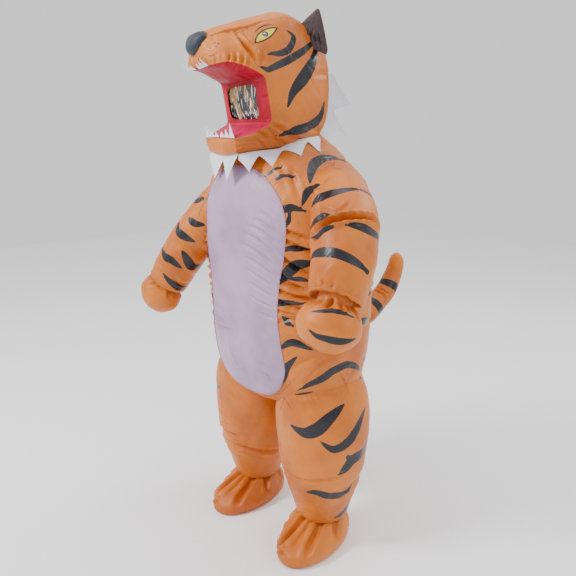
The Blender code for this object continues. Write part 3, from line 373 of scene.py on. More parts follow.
class HeadForm(Form):
    """Shared parts of the head's forms: v is the section along the bent tube."""

    steps = (0.004, 0.01)

    @staticmethod
    def value(v: Array, name: str) -> Array:
        """One column of the head's table at each section."""
        return curves(numbered(HEAD), v)[HEAD_COLUMNS.index(name)]

    def lines(self, v: Array) -> tuple[Array, Array, Array]:
        """Inner point, outer point and the direction between them."""
        inner = head_point(self.value(v, "inner_ahead"), 0 * v, self.value(v, "inner_height"))
        outer = head_point(self.value(v, "outer_ahead"), 0 * v, self.value(v, "outer_height"))
        return inner, outer, unit(outer - inner)

    def middle(self, u: Array, v: Array) -> Array:
        """Middle of each section's air chamber."""
        inner, outer, _ = self.lines(v + 0 * u)
        return (inner + outer) / 2


class OuterForm(HeadForm):
    """Strip over the crown, down the nape and under the jaw: u from -1 on the right to 1."""

    def point(self, u: Array, v: Array) -> Array:
        """Points of the strip."""
        _, outer, radial = self.lines(v + 0 * u)
        half, drop = self.value(v, "outer_half"), self.value(v, "crown_drop")
        return outer + HEAD_LEFT * (half * u)[..., None] - radial * (drop * np.abs(u) ** 2.2)[..., None]


class MouthForm(HeadForm):
    """Palate, throat wall and mouth floor: u from -1 on the right to 1 on the left."""

    def point(self, u: Array, v: Array) -> Array:
        """Points of the mouth lining."""
        inner, _, radial = self.lines(v + 0 * u)
        half, swell = self.value(v, "inner_half"), self.value(v, "mouth_swell")
        return inner + HEAD_LEFT * (half * u)[..., None] - radial * (swell * (1 - u**2))[..., None]


@dataclass
class SideForm(HeadForm):
    """Side of the head: u from 0 at the mouth's edge to 1 at the outer seam."""

    sign: int

    def point(self, u: Array, v: Array) -> Array:
        """Points of the side."""
        inner, outer, radial = self.lines(v + 0 * u)
        left = HEAD_LEFT * self.sign
        low = inner + left * self.value(v, "inner_half")[..., None]
        high = outer + left * self.value(v, "outer_half")[..., None]
        high = high - radial * self.value(v, "crown_drop")[..., None]
        swell = self.value(v, "side_swell") * np.sin(math.pi * u)
        return low * (1 - u[..., None]) + high * u[..., None] + left * swell[..., None]


# Height, middle's distance ahead, half length and half width
SHOE = (
    (0.000, 0.000, 0.1780, 0.0950),
    (0.012, 0.002, 0.1880, 0.1060),
    (0.035, 0.002, 0.1880, 0.1100),
    (0.062, -0.008, 0.1700, 0.1060),
    (0.083, -0.030, 0.1350, 0.0990),
    (0.098, -0.045, 0.1040, 0.0890),
    (0.108, -0.053, 0.0780, 0.0750),
    (0.120, -0.055, 0.0652, 0.0652),
    (0.138, -0.055, 0.0650, 0.0650),
)
SHOE_FOLDS = (
    (-62.0, 0.010, 20.0),
    (-26.0, 0.015, 17.0),
    (8.0, 0.010, 15.0),
    (34.0, 0.016, 16.0),
    (72.0, 0.010, 20.0),
    (125.0, 0.007, 24.0),
    (-130.0, 0.008, 24.0),
    (178.0, 0.007, 22.0),
)


@dataclass
class ShoeForm(Form):
    """Shoe cover: u is the turn in degrees from the toe, v the height.

    Attributes:
        x: Ankle's distance to the left.
        y: Ankle's distance back.
        turned: Degrees that the toe is turned towards +X.
    """

    x: float
    y: float
    turned: float
    ankle_ahead: float = -0.055
    fold_height: float = 0.083
    fold_reach: float = 0.037

    def toe(self) -> Array:
        """Direction of the toe."""
        angle = math.radians(self.turned)
        return np.array((math.sin(angle), -math.cos(angle), 0.0))

    def point(self, u: Array, v: Array) -> Array:
        """Points of the shoe cover."""
        ahead, long, wide = curves(SHOE, v)
        turn = np.radians(u)
        trough = 0 * turn
        for at, depth, width in SHOE_FOLDS:
            envelope = bump(v - self.fold_height, self.fold_reach)
            trough = trough + depth * envelope * bump(turn_from(at, turn), math.radians(width))
        forward = ahead - self.ankle_ahead + (long - trough) * np.cos(turn)
        across = (wide - trough) * np.sin(turn)
        left = np.cross(self.toe(), -UP)
        place = np.array((self.x, self.y, 0.0)) + forward[..., None] * self.toe() + across[..., None] * left
        place[..., 2] = v
        return place

    def middle(self, u: Array, v: Array) -> Array:
        """Points on the shoe's axis."""
        return self.point(u, v) * 0 + np.array((self.x, self.y, 0.04))


# Marks and creases, drawn on a form


@dataclass(frozen=True)
class Stripe:
    """Printed stripe that tapers to a point.

    Attributes:
        points: Places on the form, as (u, v).
        width: Widest size in metres.
        root: Share of the width kept at the first point.
        tip: Share of the width kept at the last point.
    """

    points: tuple
    width: float
    root: float = 0.0
    tip: float = 0.0


@dataclass(frozen=True)
class Crease:
    """Soft trough in inflated cloth, with a shallow ridge on each side.

    Attributes:
        points: Places on the form, as (u, v).
        depth: Depth in metres at its middle.
        width: Distance from its line to where it has mostly gone.
    """

    points: tuple
    depth: float
    width: float


def draw_stripes(*rows: tuple) -> tuple:
    """Stripes from rows of width, root and tip, and then the points."""
    return tuple(Stripe(row[3:], *row[:3]) for row in rows)


def draw_creases(*rows: tuple) -> tuple:
    """Creases from rows of depth and width, and then the points."""
    return tuple(Crease(row[2:], *row[:2]) for row in rows)


LINE_COUNT = 36
# Distance at which a mark counts as far away
FAR = 0.05
CREASE_GAIN = 1.5
# Sharpness of a crease's trough and of the ridges beside it, and the ridges' share and place
TROUGH, RIDGE, RIDGE_SHARE, RIDGE_PLACE = 5, 7, 0.4, 0.95


def line_on(form: Form, points: tuple) -> Array:
    """Points in space along a smooth line drawn on a form."""
    if len(points) == 2:
        line = np.linspace(points[0], points[1], LINE_COUNT)
    else:
        line = through(points, LINE_COUNT)
    return form.point(line[:, 0], line[:, 1])


def stripe_distance(form: Form, stripes: tuple, points: Array) -> Array:
    """Signed distance of each point from the nearest stripe's edge, below 0 inside it."""
    found = np.full(points.shape[:-1], FAR)
    share = np.linspace(0, 1, LINE_COUNT)
    for stripe in stripes:
        body = np.sin(math.pi * np.clip(share, 0.0, 1.0)) ** 0.75
        ends = stripe.root * (1 - share) ** 2 + stripe.tip * share**2
        radius = stripe.width / 2 * np.maximum(body, ends)
        for centre, size in zip(line_on(form, stripe.points), radius):
            found = np.minimum(found, np.linalg.norm(points - centre, axis=-1) - size)
    return found


def crease_depth(form: Form, creases: tuple, points: Array) -> Array:
    """How far each point is drawn in by the creases."""
    total = np.zeros(points.shape[:-1])
    share = np.linspace(0, 1, LINE_COUNT)
    taper = np.sin(math.pi * np.clip(share * 0.96 + 0.02, 0, 1)) ** 0.6
    for crease in creases:
        nearest = np.full(points.shape[:-1], 1e9)
        strength = np.zeros(points.shape[:-1])
        for centre, size in zip(line_on(form, crease.points), taper):
            away = np.linalg.norm(points - centre, axis=-1)
            closer = away < nearest
            nearest = np.where(closer, away, nearest)
            strength = np.where(closer, size, strength)
        t = nearest / crease.width
        fold = np.exp(-(t**2) * TROUGH) - RIDGE_SHARE * np.exp(-((t - RIDGE_PLACE) ** 2) * RIDGE)
        total += CREASE_GAIN * crease.depth * strength * fold
    return total


# Solids that hide what lies inside them


class Volume:
    """Closed form that tells how deep a point is inside it."""

    def __init__(self, rings: Array) -> None:
        """Lofts closed rings of points, with a fan on each end."""
        self.tree = self._tree(rings)
        self.low = rings.min((0, 1))
        self.high = rings.max((0, 1))

    @staticmethod
    def _tree(rings: Array) -> BVHTree:
        """Search tree of the rings and their two caps."""
        rows, columns = rings.shape[:2]
        a = np.arange(rows * columns).reshape(rows, columns)
        b = np.roll(a, -1, axis=1)
        faces = np.stack([a[:-1], b[:-1], b[1:], a[1:]], -1).reshape(-1, 4).tolist()
        first, last = np.full(columns, rows * columns), np.full(columns, rows * columns + 1)
        faces += np.stack([b[0], a[0], first], -1).tolist() + np.stack([a[-1], b[-1], last], -1).tolist()
        points = np.concatenate([rings.reshape(-1, 3), [rings[0].mean(0)], [rings[-1].mean(0)]])
        return BVHTree.FromPolygons([Vector(p) for p in points], faces)

    def outward(self) -> int:
        """1 if the tree's normals face outwards, else -1."""
        probe = Vector(self.high) + Vector((1, 1, 1))
        place, normal, _, _ = self.tree.find_nearest(probe)
        return 1 if (probe - place).dot(normal) > 0 else -1

    def distance(self, points: Array, reach: float = 0.06) -> Array:
        """Signed distance of each point, below 0 inside, held to reach far outside."""
        flat = points.reshape(-1, 3)
        found = np.full(len(flat), reach)
        near = np.all((flat > self.low - reach) & (flat < self.high + reach), axis=1)
        turn = self.outward()
        for i in np.flatnonzero(near):
            probe = Vector(flat[i])
            place, normal, _, _ = self.tree.find_nearest(probe)
            away = probe - place
            found[i] = min(reach, math.copysign(away.length, away.dot(normal) * turn))
        return found.reshape(points.shape[:-1])


# Cloth panels

# How deep inside a neighbour the cloth has to lie before it is left out
HIDDEN_DEPTH = 0.007
# Distances from a seam at which air fills the cloth, swells begin and gathers are deepest
AIR_REACH, SWELL_REACH, FINE_REACH, COARSE_REACH = 0.022, 0.030, 0.013, 0.030
# Wavelengths of fine gathers, of coarse ones, and of the patches where they show
FINE_WAVE, COARSE_WAVE, PATCH_WAVE = 0.034, 0.075, 0.160
# Height, wavelength and seed of the cloth's swells
SWELLS = ((0.0024, 0.13, 3), (0.0011, 0.05, 4))
# Points along a panel and across it that measure its cloth, and the step between measured rows
PROBES, RING_PROBES, PROBE_STEP = 200, 120, 12
# Percentile of the rows' widths that sets the number of columns
USUAL_WIDTH = 80
# Least and most of its flat rectangle that a sheet may cover
LEAST_AREA, MOST_AREA = 0.32, 0.99


@dataclass(frozen=True)
class Placement:
    """Where a drawing lies on a form, as a point attribute with places in metres.

    Attributes:
        name: Attribute's name.
        centre: Drawing's middle, as (u, v).
        towards: A place on its +x side.
        both: Repeats the +x side on the other.
    """

    name: str
    centre: tuple
    towards: tuple
    both: bool = False
    REACH = 0.03

    def places(self, form: Form, points: Array) -> Array:
        """Place of each point on the drawing; points far from its plane get a large z."""
        u, v = (np.array([value], float) for value in self.centre)
        middle, normal = form.point(u, v)[0], form.normal(u, v)[0]
        ahead = form.point(*(np.array([value], float) for value in self.towards))[0] - middle
        right = unit(ahead - normal * (ahead @ normal))
        up = np.cross(normal, right)
        up = up if up @ UP > 0 else -up
        away = points - middle
        x, deep = away @ right, np.maximum(np.abs(away @ normal) - self.REACH, 0)
        return np.stack([np.abs(x) if self.both else x, away @ up, deep * 9], -1)


@dataclass
class Panel:
    """One cut piece of cloth on a form.

    Attributes:
        name: Piece's name, which is its node's.
        form: Surface that it lies on.
        across: First and last u, numbers or functions of v.
        along: First and last v.
        finish: Material it is made of.
        seams: Edges where it is sewn to a neighbour.
        spacing: Distance between the grid's points.
        stripes: Printed stripes.
        creases: Main creases, placed one by one.
        around: Joins the last column to the first.
        closed: Closes the last row, as on a mitt's tip.
        clear_of: Volumes that hide what lies inside them, and are sewn to it.
        pucker: Depth of the gathers at its seams.
        bulge: How far air pushes the cloth out between seams.
        rim_of: Gives extra rows and their normals after the last row, as a rolled hem.
        seed: Number that fixes its small folds.
        held: How it is held; not used.
        flat: Leaves out its air and folds.
        columns: Number of columns, where the spacing doesn't set it.
        drawings: Places of its drawings.
        lifted: How far it lies above the form.
    """

    name: str
    form: Form
    across: tuple
    along: tuple
    finish: "Finish"
    seams: tuple = SEWN
    spacing: float = 0.0065
    stripes: tuple = ()
    creases: tuple = ()
    around: bool = False
    closed: bool = False
    clear_of: tuple = ()
    pucker: float = 0.0034
    bulge: float = 0.003
    rim_of: Callable | None = None
    seed: int = 1
    held: Held = Held.STRETCHED
    flat: bool = False
    columns: int | None = None
    drawings: tuple = ()
    lifted: float = 0.0

    def coordinates(self) -> tuple[Array, Array]:
        """u and v of the grid, evenly spaced over the surface."""
        probe = np.linspace(*self.along, PROBES)
        start, end = (edge(probe) if callable(edge) else edge + 0 * probe for edge in self.across)
        if self.around:
            middles = [start, (start * 3 + end) / 4, (start + end) / 2]
        else:
            middles = [(start + end) / 2]
        runs = [self.form.point(m, probe) for m in middles]
        steps = np.mean([np.linalg.norm(np.diff(run, axis=0), axis=1) for run in runs], 0)
        length = np.concatenate([[0], np.cumsum(steps)])
        rows = max(3, round(length[-1] / self.spacing))
        v = np.interp(np.linspace(0, length[-1], rows), length, probe)
        share = np.linspace(0, 1, RING_PROBES)
        widths = []
        for k in range(0, PROBES, PROBE_STEP):
            ring = self.form.point(start[k] + (end[k] - start[k]) * share, probe[k] + 0 * share)
            widths.append(np.linalg.norm(np.diff(ring, axis=0), axis=1).sum())
        columns = self.columns or max(3, round(np.percentile(widths, USUAL_WIDTH) / self.spacing))
        share = np.linspace(0, 1, columns, endpoint=not self.around)[None, :]
        first, last = (edge(v) if callable(edge) else edge + 0 * v for edge in self.across)
        u = first[:, None] + (last - first)[:, None] * share
        return u, np.repeat(v[:, None], u.shape[1], 1)

    def build(self) -> Object:
        """Builds the piece's shell, its marks and its finish.

        Returns:
            The finished object, in place of its node.
        """
        u, v = self.coordinates()
        points = self.form.point(u, v)
        normals = self.form.normal(u, v)
        metres = grid_metres(points, self.around)
        seam, run = self.seam_distance(points, metres)
        hidden = np.zeros(u.shape, bool)
        for volume in self.clear_of:
            away = volume.distance(points)
            hidden |= away < -HIDDEN_DEPTH
            run = np.where(np.abs(away) < seam, points.sum(-1) * 0.8, run)
            seam = np.minimum(seam, np.abs(away))
        mark = stripe_distance(self.form, self.stripes, points)
        lift = self.lift(points, seam, run)
        lift -= crease_depth(self.form, self.creases, points)
        outer = points + normals * (lift + self.lifted)[..., None]
        marks = {drawing.name: drawing.places(self.form, points) for drawing in self.drawings}
        if self.rim_of is not None:
            ring = self.rim_of(outer[-1], normals[-1])
            outer, normals = np.concatenate([outer, ring[0]]), np.concatenate([normals, ring[1]])
            count = len(ring[0])
            metres = tuple(np.concatenate([m, np.repeat(m[-1:], count, 0)]) for m in metres)
            metres[1][-count:] += np.arange(1, count + 1)[:, None] * self.spacing
            far = np.full((count, u.shape[1]), FAR)
            mark = np.concatenate([mark, np.repeat(mark[-1:], count, 0)])
            seam, run = np.concatenate([seam, far]), np.concatenate([run, far])
            hidden = np.concatenate([hidden, np.zeros((count, u.shape[1]), bool)])
        self.outer = outer
        marks |= {"mark": mark, "seam": seam, "run": run}
        mesh = shell(self, outer, normals, hidden, marks, metres)
        obj = add_piece(self.name, mesh, self.finish)
        declare_sheet(self, hidden)
        return obj

    def seam_distance(self, points: Array, metres: tuple) -> tuple[Array, Array]:
        """Distance from the nearest sewn edge, and the distance along that edge."""
        across, along = metres
        seam = np.full(points.shape[:-1], 0.2)
        run = along.copy()
        edges = {
            Edge.START: (across, along),
            Edge.END: (across[:, -1:] - across, along),
            Edge.LOW: (along, across),
            Edge.HIGH: (along[-1:] - along, across),
        }
        for edge in self.seams:
            away, beside = edges[edge]
            run = np.where(away < seam, beside, run)
            seam = np.minimum(seam, away)
        return np.maximum(seam, 0), run

    def lift(self, points: Array, seam: Array, run: Array) -> Array:
        """How far air and gathers move each point out."""
        if self.flat:
            return 0 * seam
        rise = self.bulge * (1 - np.exp(-seam / AIR_REACH))
        free = 1 - np.exp(-seam / SWELL_REACH)
        rise += free * sum(height * unevenness(points, length, seed) for height, length, seed in SWELLS)
        near, far = (seam / reach * np.exp(1 - seam / reach) for reach in (FINE_REACH, COARSE_REACH))
        fine = (1 - np.abs(wave(run / FINE_WAVE, self.seed))) ** 3
        coarse = (1 - np.abs(wave(run / COARSE_WAVE, self.seed + 1))) ** 4
        patchy = 0.55 + 0.45 * wave(run / PATCH_WAVE, self.seed + 2)
        return rise - self.pucker * patchy * (0.7 * near * fine + 0.9 * far * coarse)


def grid_metres(points: Array, around: bool) -> tuple[Array, Array]:
    """Distances across and along a grid, in metres, measured on the cloth."""
    steps = np.linalg.norm(np.diff(points, axis=1), axis=-1)
    across = np.concatenate([np.zeros((len(points), 1)), np.cumsum(steps, 1)], 1)
    steps = np.linalg.norm(np.diff(points, axis=0), axis=-1)
    along = np.concatenate([np.zeros((1, points.shape[1])), np.cumsum(steps, 0)])
    if around:
        across = across - across.mean(1, keepdims=True)
    return across, along


def shell(panel: Panel, outer: Array, normals: Array, hidden: Array, marks: dict, metres: tuple) -> Mesh:
    """Thin closed shell of a panel, with its marks as point attributes and its cut as a UV map.

    Args:
        panel: Panel that the shell belongs to.
        outer: Grid of outer points.
        normals: Unit normals of the grid.
        hidden: True where a neighbour hides the cloth.
        marks: Named values, one a point.
        metres: Distances across and along the cut.

    Returns:
        The mesh, in the row frame.
    """
    rows, columns = outer.shape[:2]
    index = np.arange(rows * columns).reshape(rows, columns)
    if panel.around:
        index = np.concatenate([index, index[:, :1]], 1)
        hidden = np.concatenate([hidden, hidden[:, :1]], 1)
    a, b, c, d = index[:-1, :-1], index[:-1, 1:], index[1:, 1:], index[1:, :-1]
    shut = hidden[:-1, :-1] & hidden[:-1, 1:] & hidden[1:, 1:] & hidden[1:, :-1]
    quads = np.stack([a, b, c, d], -1)[~shut]
    flat = outer.reshape(-1, 3)
    first = quads[len(quads) // 2]
    facing = np.cross(flat[first[1]] - flat[first[0]], flat[first[3]] - flat[first[0]])
    if facing @ normals.reshape(-1, 3)[first[0]] < 0:
        quads = quads[:, ::-1]
    layer = rows * columns
    inner = (outer - normals * WALL).reshape(-1, 3)
    walls = boundary_walls(quads, layer)
    faces = [quads, quads[:, ::-1] + layer, walls]
    caps = []
    if panel.closed:
        ring = index[-1, :-1]
        tip = flat[ring].mean(0) - inner[ring].mean(0)
        turn = np.cross(flat[ring[1]] - flat[ring[0]], flat[ring[2]] - flat[ring[1]]) @ tip
        ring = ring if turn > 0 else ring[::-1]
        caps = [list(ring), list(ring[::-1] + layer)]
        keep = ~np.all(np.isin(walls % layer, ring), axis=1)
        faces[2] = walls[keep]
    points = np.concatenate([flat, inner])
    points[:, 2] -= HOLD_HEIGHT
    uv = np.stack([m.reshape(-1) for m in metres], -1)
    values = {name: np.concatenate([value.reshape(layer, -1)] * 2) for name, value in marks.items()}
    return make_mesh(panel.name, points, np.concatenate(faces), caps, values, np.tile(uv, (2, 1)))


def boundary_walls(quads: Array, layer: int) -> Array:
    """Quads that join the two layers of a shell along its open edges."""
    starts, ends = quads.reshape(-1), np.roll(quads, -1, axis=1).reshape(-1)
    size = int(quads.max()) + 1
    forward, backward = starts * size + ends, ends * size + starts
    open_edges = ~np.isin(forward, backward)
    a, b = starts[open_edges], ends[open_edges]
    return np.stack([b, a, a + layer, b + layer], -1)


def make_mesh(name: str, points: Array, quads: Array, caps: list, values: dict, uv: Array) -> Mesh:
    """Mesh from arrays of points and quads, with point attributes and a UV map.

    Args:
        name: Mesh's name.
        points: Places of its points.
        quads: Four point numbers a face.
        caps: Longer faces, as lists of point numbers.
        values: Named values, one a point.
        uv: Two distances a point.

    Returns:
        The mesh, smooth shaded, with points that no face uses taken out.
    """
    used = np.zeros(len(points), bool)
    used[quads] = True
    for cap in caps:
        used[cap] = True
    number = np.cumsum(used) - 1
    faces = number[quads].tolist() + [number[np.array(cap, int)].tolist() for cap in caps]
    mesh = bpy.data.meshes.new(name)
    mesh.from_pydata(points[used].tolist(), [], faces)
    mesh.validate()
    layer = mesh.uv_layers.new(name="cut")
    corners = np.concatenate(faces)
    layer.data.foreach_set("uv", uv[used][corners].astype(np.float32).reshape(-1))
    for key, value in values.items():
        kind, slot = ("FLOAT", "value") if value.shape[1] == 1 else ("FLOAT_VECTOR", "vector")
        attribute = mesh.attributes.new(key, kind, "POINT")
        attribute.data.foreach_set(slot, value[used].astype(np.float32).reshape(-1))
    mesh.shade_smooth()
    mesh.set_sharp_from_angle(angle=math.radians(60))
    return mesh


def link_new(name: str, data: bpy.types.ID) -> Object:
    """New object in the scene."""
    obj = bpy.data.objects.new(name, data)
    bpy.context.scene.collection.objects.link(obj)
    return obj


def add_piece(name: str, mesh: Mesh, finish: "Finish") -> Object:
    """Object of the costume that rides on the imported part's only body.

    Args:
        name: Piece's name; where a node has it, the piece takes that node's place.
        mesh: Its mesh, in the row frame.
        finish: Its material.

    Returns:
        The linked object.
    """
    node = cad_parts.get(name)
    obj = link_new(name + "_cloth" if node else name, mesh)
    mesh.materials.clear()
    mesh.materials.append(finish.material())
    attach(obj, "root")
    if node:
        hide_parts(name)
    log.info("%s: %d faces", obj.name, len(mesh.polygons))
    return obj


def declare_sheet(panel: Panel, hidden: Array) -> None:
    """Works out the flat cut of what shows of a piece, measured on the cloth, and keeps none of it.

    Args:
        panel: Panel that it was built from.
        hidden: True where a neighbour hides it.
    """
    grid, shown = panel.outer, ~hidden
    if panel.around:
        grid, shown = (np.concatenate([values, values[:, :1]], 1) for values in (grid, shown))
    across = np.linalg.norm(np.diff(grid, axis=1), axis=-1) * (shown[:, 1:] | shown[:, :-1])
    along = np.linalg.norm(np.diff(grid, axis=0), axis=-1) * (shown[1:] | shown[:-1])
    one, two = grid[1:, :-1] - grid[:-1, :-1], grid[:-1, 1:] - grid[:-1, :-1]
    area = (np.linalg.norm(np.cross(one, two), axis=-1) * (shown[1:, :-1] | shown[:-1, 1:])).sum()
    widths, length = across.sum(1), float(along.sum(0).max())
    # A pointed edge narrows the last rows, so the cut is as wide as the narrowest whole row
    pointed = panel.columns is not None
    width = float(widths[widths > 0.5 * widths.max()].min() if pointed else widths.max())
    area = float(np.clip(area, LEAST_AREA * width * length, MOST_AREA * width * length))


# Shader nodes


class Graph:
    """Short way to add and join the nodes of one tree."""

    def __init__(self, tree: Tree) -> None:
        """Keeps the tree."""
        self.tree = tree

    def add(self, kind: str, inputs: dict | None = None, **settings: object) -> bpy.types.Node:
        """Adds a node.

        Args:
            kind: Node's type name.
            inputs: Values or source sockets, by input name or number.
            **settings: Properties of the node.

        Returns:
            The node.
        """
        node = self.tree.nodes.new(kind)
        for key, value in settings.items():
            setattr(node, key, value)
        for key, value in (inputs or {}).items():
            self.feed(node.inputs[key], value)
        return node

    def feed(self, socket: Socket, value: object) -> None:
        """Joins a source socket to an input, or sets the input's value."""
        if isinstance(value, Socket):
            self.tree.links.new(value, socket)
        else:
            socket.default_value = value

    def sum(self, operation: str, *values: object) -> Socket:
        """Result of a math node on the values."""
        return self.add("ShaderNodeMath", dict(enumerate(values)), operation=operation).outputs[0]

    def ramp(self, value: object, low: float, high: float, to: tuple = (0.0, 1.0)) -> Socket:
        """Value mapped smoothly from low..high to a range."""
        inputs = {"Value": value, "From Min": low, "From Max": high, "To Min": to[0], "To Max": to[1]}
        node = self.add("ShaderNodeMapRange", inputs, interpolation_type="SMOOTHSTEP")
        return node.outputs["Result"]

    def mix(self, share: object, first: object, second: object) -> Socket:
        """Mix of two colours."""
        node = self.add("ShaderNodeMix", {0: share, 6: first, 7: second}, data_type="RGBA")
        return node.outputs[2]

    def noise(self, vector: object, scale: float, detail: float = 2.0) -> Socket:
        """Value of a noise texture, around 0.5."""
        inputs = {"Vector": vector, "Scale": scale, "Detail": detail, "Roughness": 0.5}
        return self.add("ShaderNodeTexNoise", inputs).outputs[0]

    def group(self, tree: Tree, inputs: dict) -> object:
        """Outputs of a shader group, with its inputs fed."""
        node = self.add("ShaderNodeGroup", node_tree=tree)
        for key, value in inputs.items():
            self.feed(node.inputs[key], value)
        return node.outputs

    def bump(self, height: Socket) -> Socket:
        """Normal of a surface with small heights in metres."""
        inputs = {"Strength": 1.0, "Distance": 1.0, "Height": height}
        return self.add("ShaderNodeBump", inputs).outputs["Normal"]

    def attribute(self, name: str, output: str = "Fac") -> Socket:
        """Value of a point attribute."""
        return self.add("ShaderNodeAttribute", attribute_name=name).outputs[output]


def node_group(name: str, inputs: dict, outputs: dict) -> tuple[Tree, Graph, dict, bpy.types.Node]:
    """Starts a shader group.

    Args:
        name: Group's name.
        inputs: Socket type by input name.
        outputs: Socket type by output name.

    Returns:
        The tree, its graph, its input sockets by name, and its output node.
    """
    tree = bpy.data.node_groups.new(name, "ShaderNodeTree")
    for key, kind in inputs.items():
        tree.interface.new_socket(key, in_out="INPUT", socket_type=kind)
    for key, kind in outputs.items():
        tree.interface.new_socket(key, in_out="OUTPUT", socket_type=kind)
    graph = Graph(tree)
    source = graph.add("NodeGroupInput")
    sockets = {key: source.outputs[key] for key in inputs}
    return tree, graph, sockets, graph.add("NodeGroupOutput")


FLOAT, COLOUR, VECTOR = "NodeSocketFloat", "NodeSocketColor", "NodeSocketVector"


def nylon_group() -> Tree:
    """Group that prints stripes on inflated nylon, paints shade along its seams and gathers it there."""
    found = bpy.data.node_groups.get("nylon detail")
    if found:
        return found
    # Two cloth colours come in: the lit colour and a shaded copy of it.
    inputs = {"Mark": FLOAT, "Seam": FLOAT, "Run": FLOAT, "Cloth": COLOUR, "Shade": COLOUR, "Ink": COLOUR}
    inputs |= {"Smoothness": FLOAT, "Gather": FLOAT}
    outputs = {"Colour": COLOUR, "Roughness": FLOAT, "Height": FLOAT}
    tree, graph, given, last = node_group("nylon detail", inputs, outputs)
    place = graph.add("ShaderNodeTexCoord").outputs["Object"]
    ragged = graph.sum("MULTIPLY", graph.sum("SUBTRACT", graph.noise(place, 260.0), 0.5), 0.0006)
    ink = graph.ramp(graph.sum("ADD", given["Mark"], ragged), 0.0005, -0.0005)
    # Random soft patches of the shaded copy of the cloth colour.
    patchy = graph.ramp(graph.noise(place, 6.0, 3.0), 0.35, 0.7)
    cloth = graph.mix(patchy, given["Cloth"], given["Shade"])
    # Painted shade: within about 2 mm of a seam the cloth darkens towards its shaded copy.
    edge = graph.ramp(given["Seam"], 0.0022, 0.0004, (0.0, 0.45))
    cloth = graph.mix(edge, cloth, given["Shade"])
    graph.feed(last.inputs["Colour"], graph.mix(ink, cloth, given["Ink"]))
    rough = graph.ramp(graph.noise(place, 28.0, 3.0), 0.3, 0.7, (-0.04, 0.05))
    rough = graph.sum("ADD", rough, given["Smoothness"])
    rough = graph.sum("SUBTRACT", rough, graph.sum("MULTIPLY", ink, 0.17))
    graph.feed(last.inputs["Roughness"], rough)
    fine = graph.add("ShaderNodeCombineXYZ", {0: graph.sum("MULTIPLY", given["Run"], 95.0),
                                             1: graph.sum("MULTIPLY", given["Seam"], 16.0)}).outputs[0]
    gathers = graph.sum("MULTIPLY", graph.noise(fine, 1.0, 2.0), given["Gather"])
    fade = graph.ramp(given["Seam"], 0.055, 0.002)
    height = graph.sum("MULTIPLY", gathers, fade)
    cockle = graph.sum("MULTIPLY", graph.noise(place, 24.0, 3.0), 0.0012)
    weave = graph.sum("MULTIPLY", graph.noise(place, 900.0, 1.0), 0.00003)
    height = graph.sum("ADD", height, graph.sum("ADD", cockle, weave))
    graph.feed(last.inputs["Height"], height)
    return tree


def disc_group() -> Tree:
    """Group that gives the signed distance of a place from a circle."""
    found = bpy.data.node_groups.get("disc")
    if found:
        return found
    inputs = {"Place": VECTOR, "Centre": VECTOR, "Radius": FLOAT}
    tree, graph, given, last = node_group("disc", inputs, {"Distance": FLOAT})
    away = graph.add("ShaderNodeVectorMath", {0: given["Place"], 1: given["Centre"]}, operation="DISTANCE")
    graph.feed(last.inputs["Distance"], graph.sum("SUBTRACT", away.outputs["Value"], given["Radius"]))
    return tree


@dataclass(frozen=True)
class Disc:
    """Circle on a drawing, in metres from the drawing's middle."""

    x: float
    y: float
    radius: float

    def distance(self, graph: Graph, place: Socket) -> Socket:
        """Signed distance, below 0 inside."""
        inputs = {"Place": place, "Centre": (self.x, self.y, 0.0), "Radius": self.radius}
        return graph.group(disc_group(), inputs)["Distance"]


@dataclass(frozen=True)
class Inside:
    """Shape inside two others, grown by a margin.

    Attributes:
        first: One shape.
        second: The other.
        margin: How far it is grown.
        sign: -1 keeps what lies outside the second shape, as in a crescent.
    """

    first: object
    second: object
    margin: float = 0.0
    sign: int = 1

    def distance(self, graph: Graph, place: Socket) -> Socket:
        """Signed distance, below 0 inside."""
        second = graph.sum("MULTIPLY", self.second.distance(graph, place), self.sign)
        both = graph.sum("MAXIMUM", self.first.distance(graph, place), second)
        return graph.sum("SUBTRACT", both, self.margin)


@dataclass(frozen=True)
class Print:
    """Drawing printed on a panel.

    Attributes:
        attribute: Point attribute with the place on the drawing.
        shapes: Pairs of shape and colour, the lowest first.
    """

    attribute: str
    shapes: tuple


@dataclass(frozen=True)
class Finish:
    """What a piece is made of.

    Attributes:
        name: Material's name.
        slot: Slot that a buyer may recolour; not used.
    """

    name: str
    slot: str

    def dress(self, graph: Graph, shader: bpy.types.Node) -> None:
        """Feeds the shader."""
        raise NotImplementedError

    def material(self) -> bpy.types.Material:
        """The material, made once."""
        found = bpy.data.materials.get(self.name)
        if found:
            return found
        made = bpy.data.materials.new(self.name)
        made.use_nodes = True
        self.dress(Graph(made.node_tree), made.node_tree.nodes["Principled BSDF"])
        return made


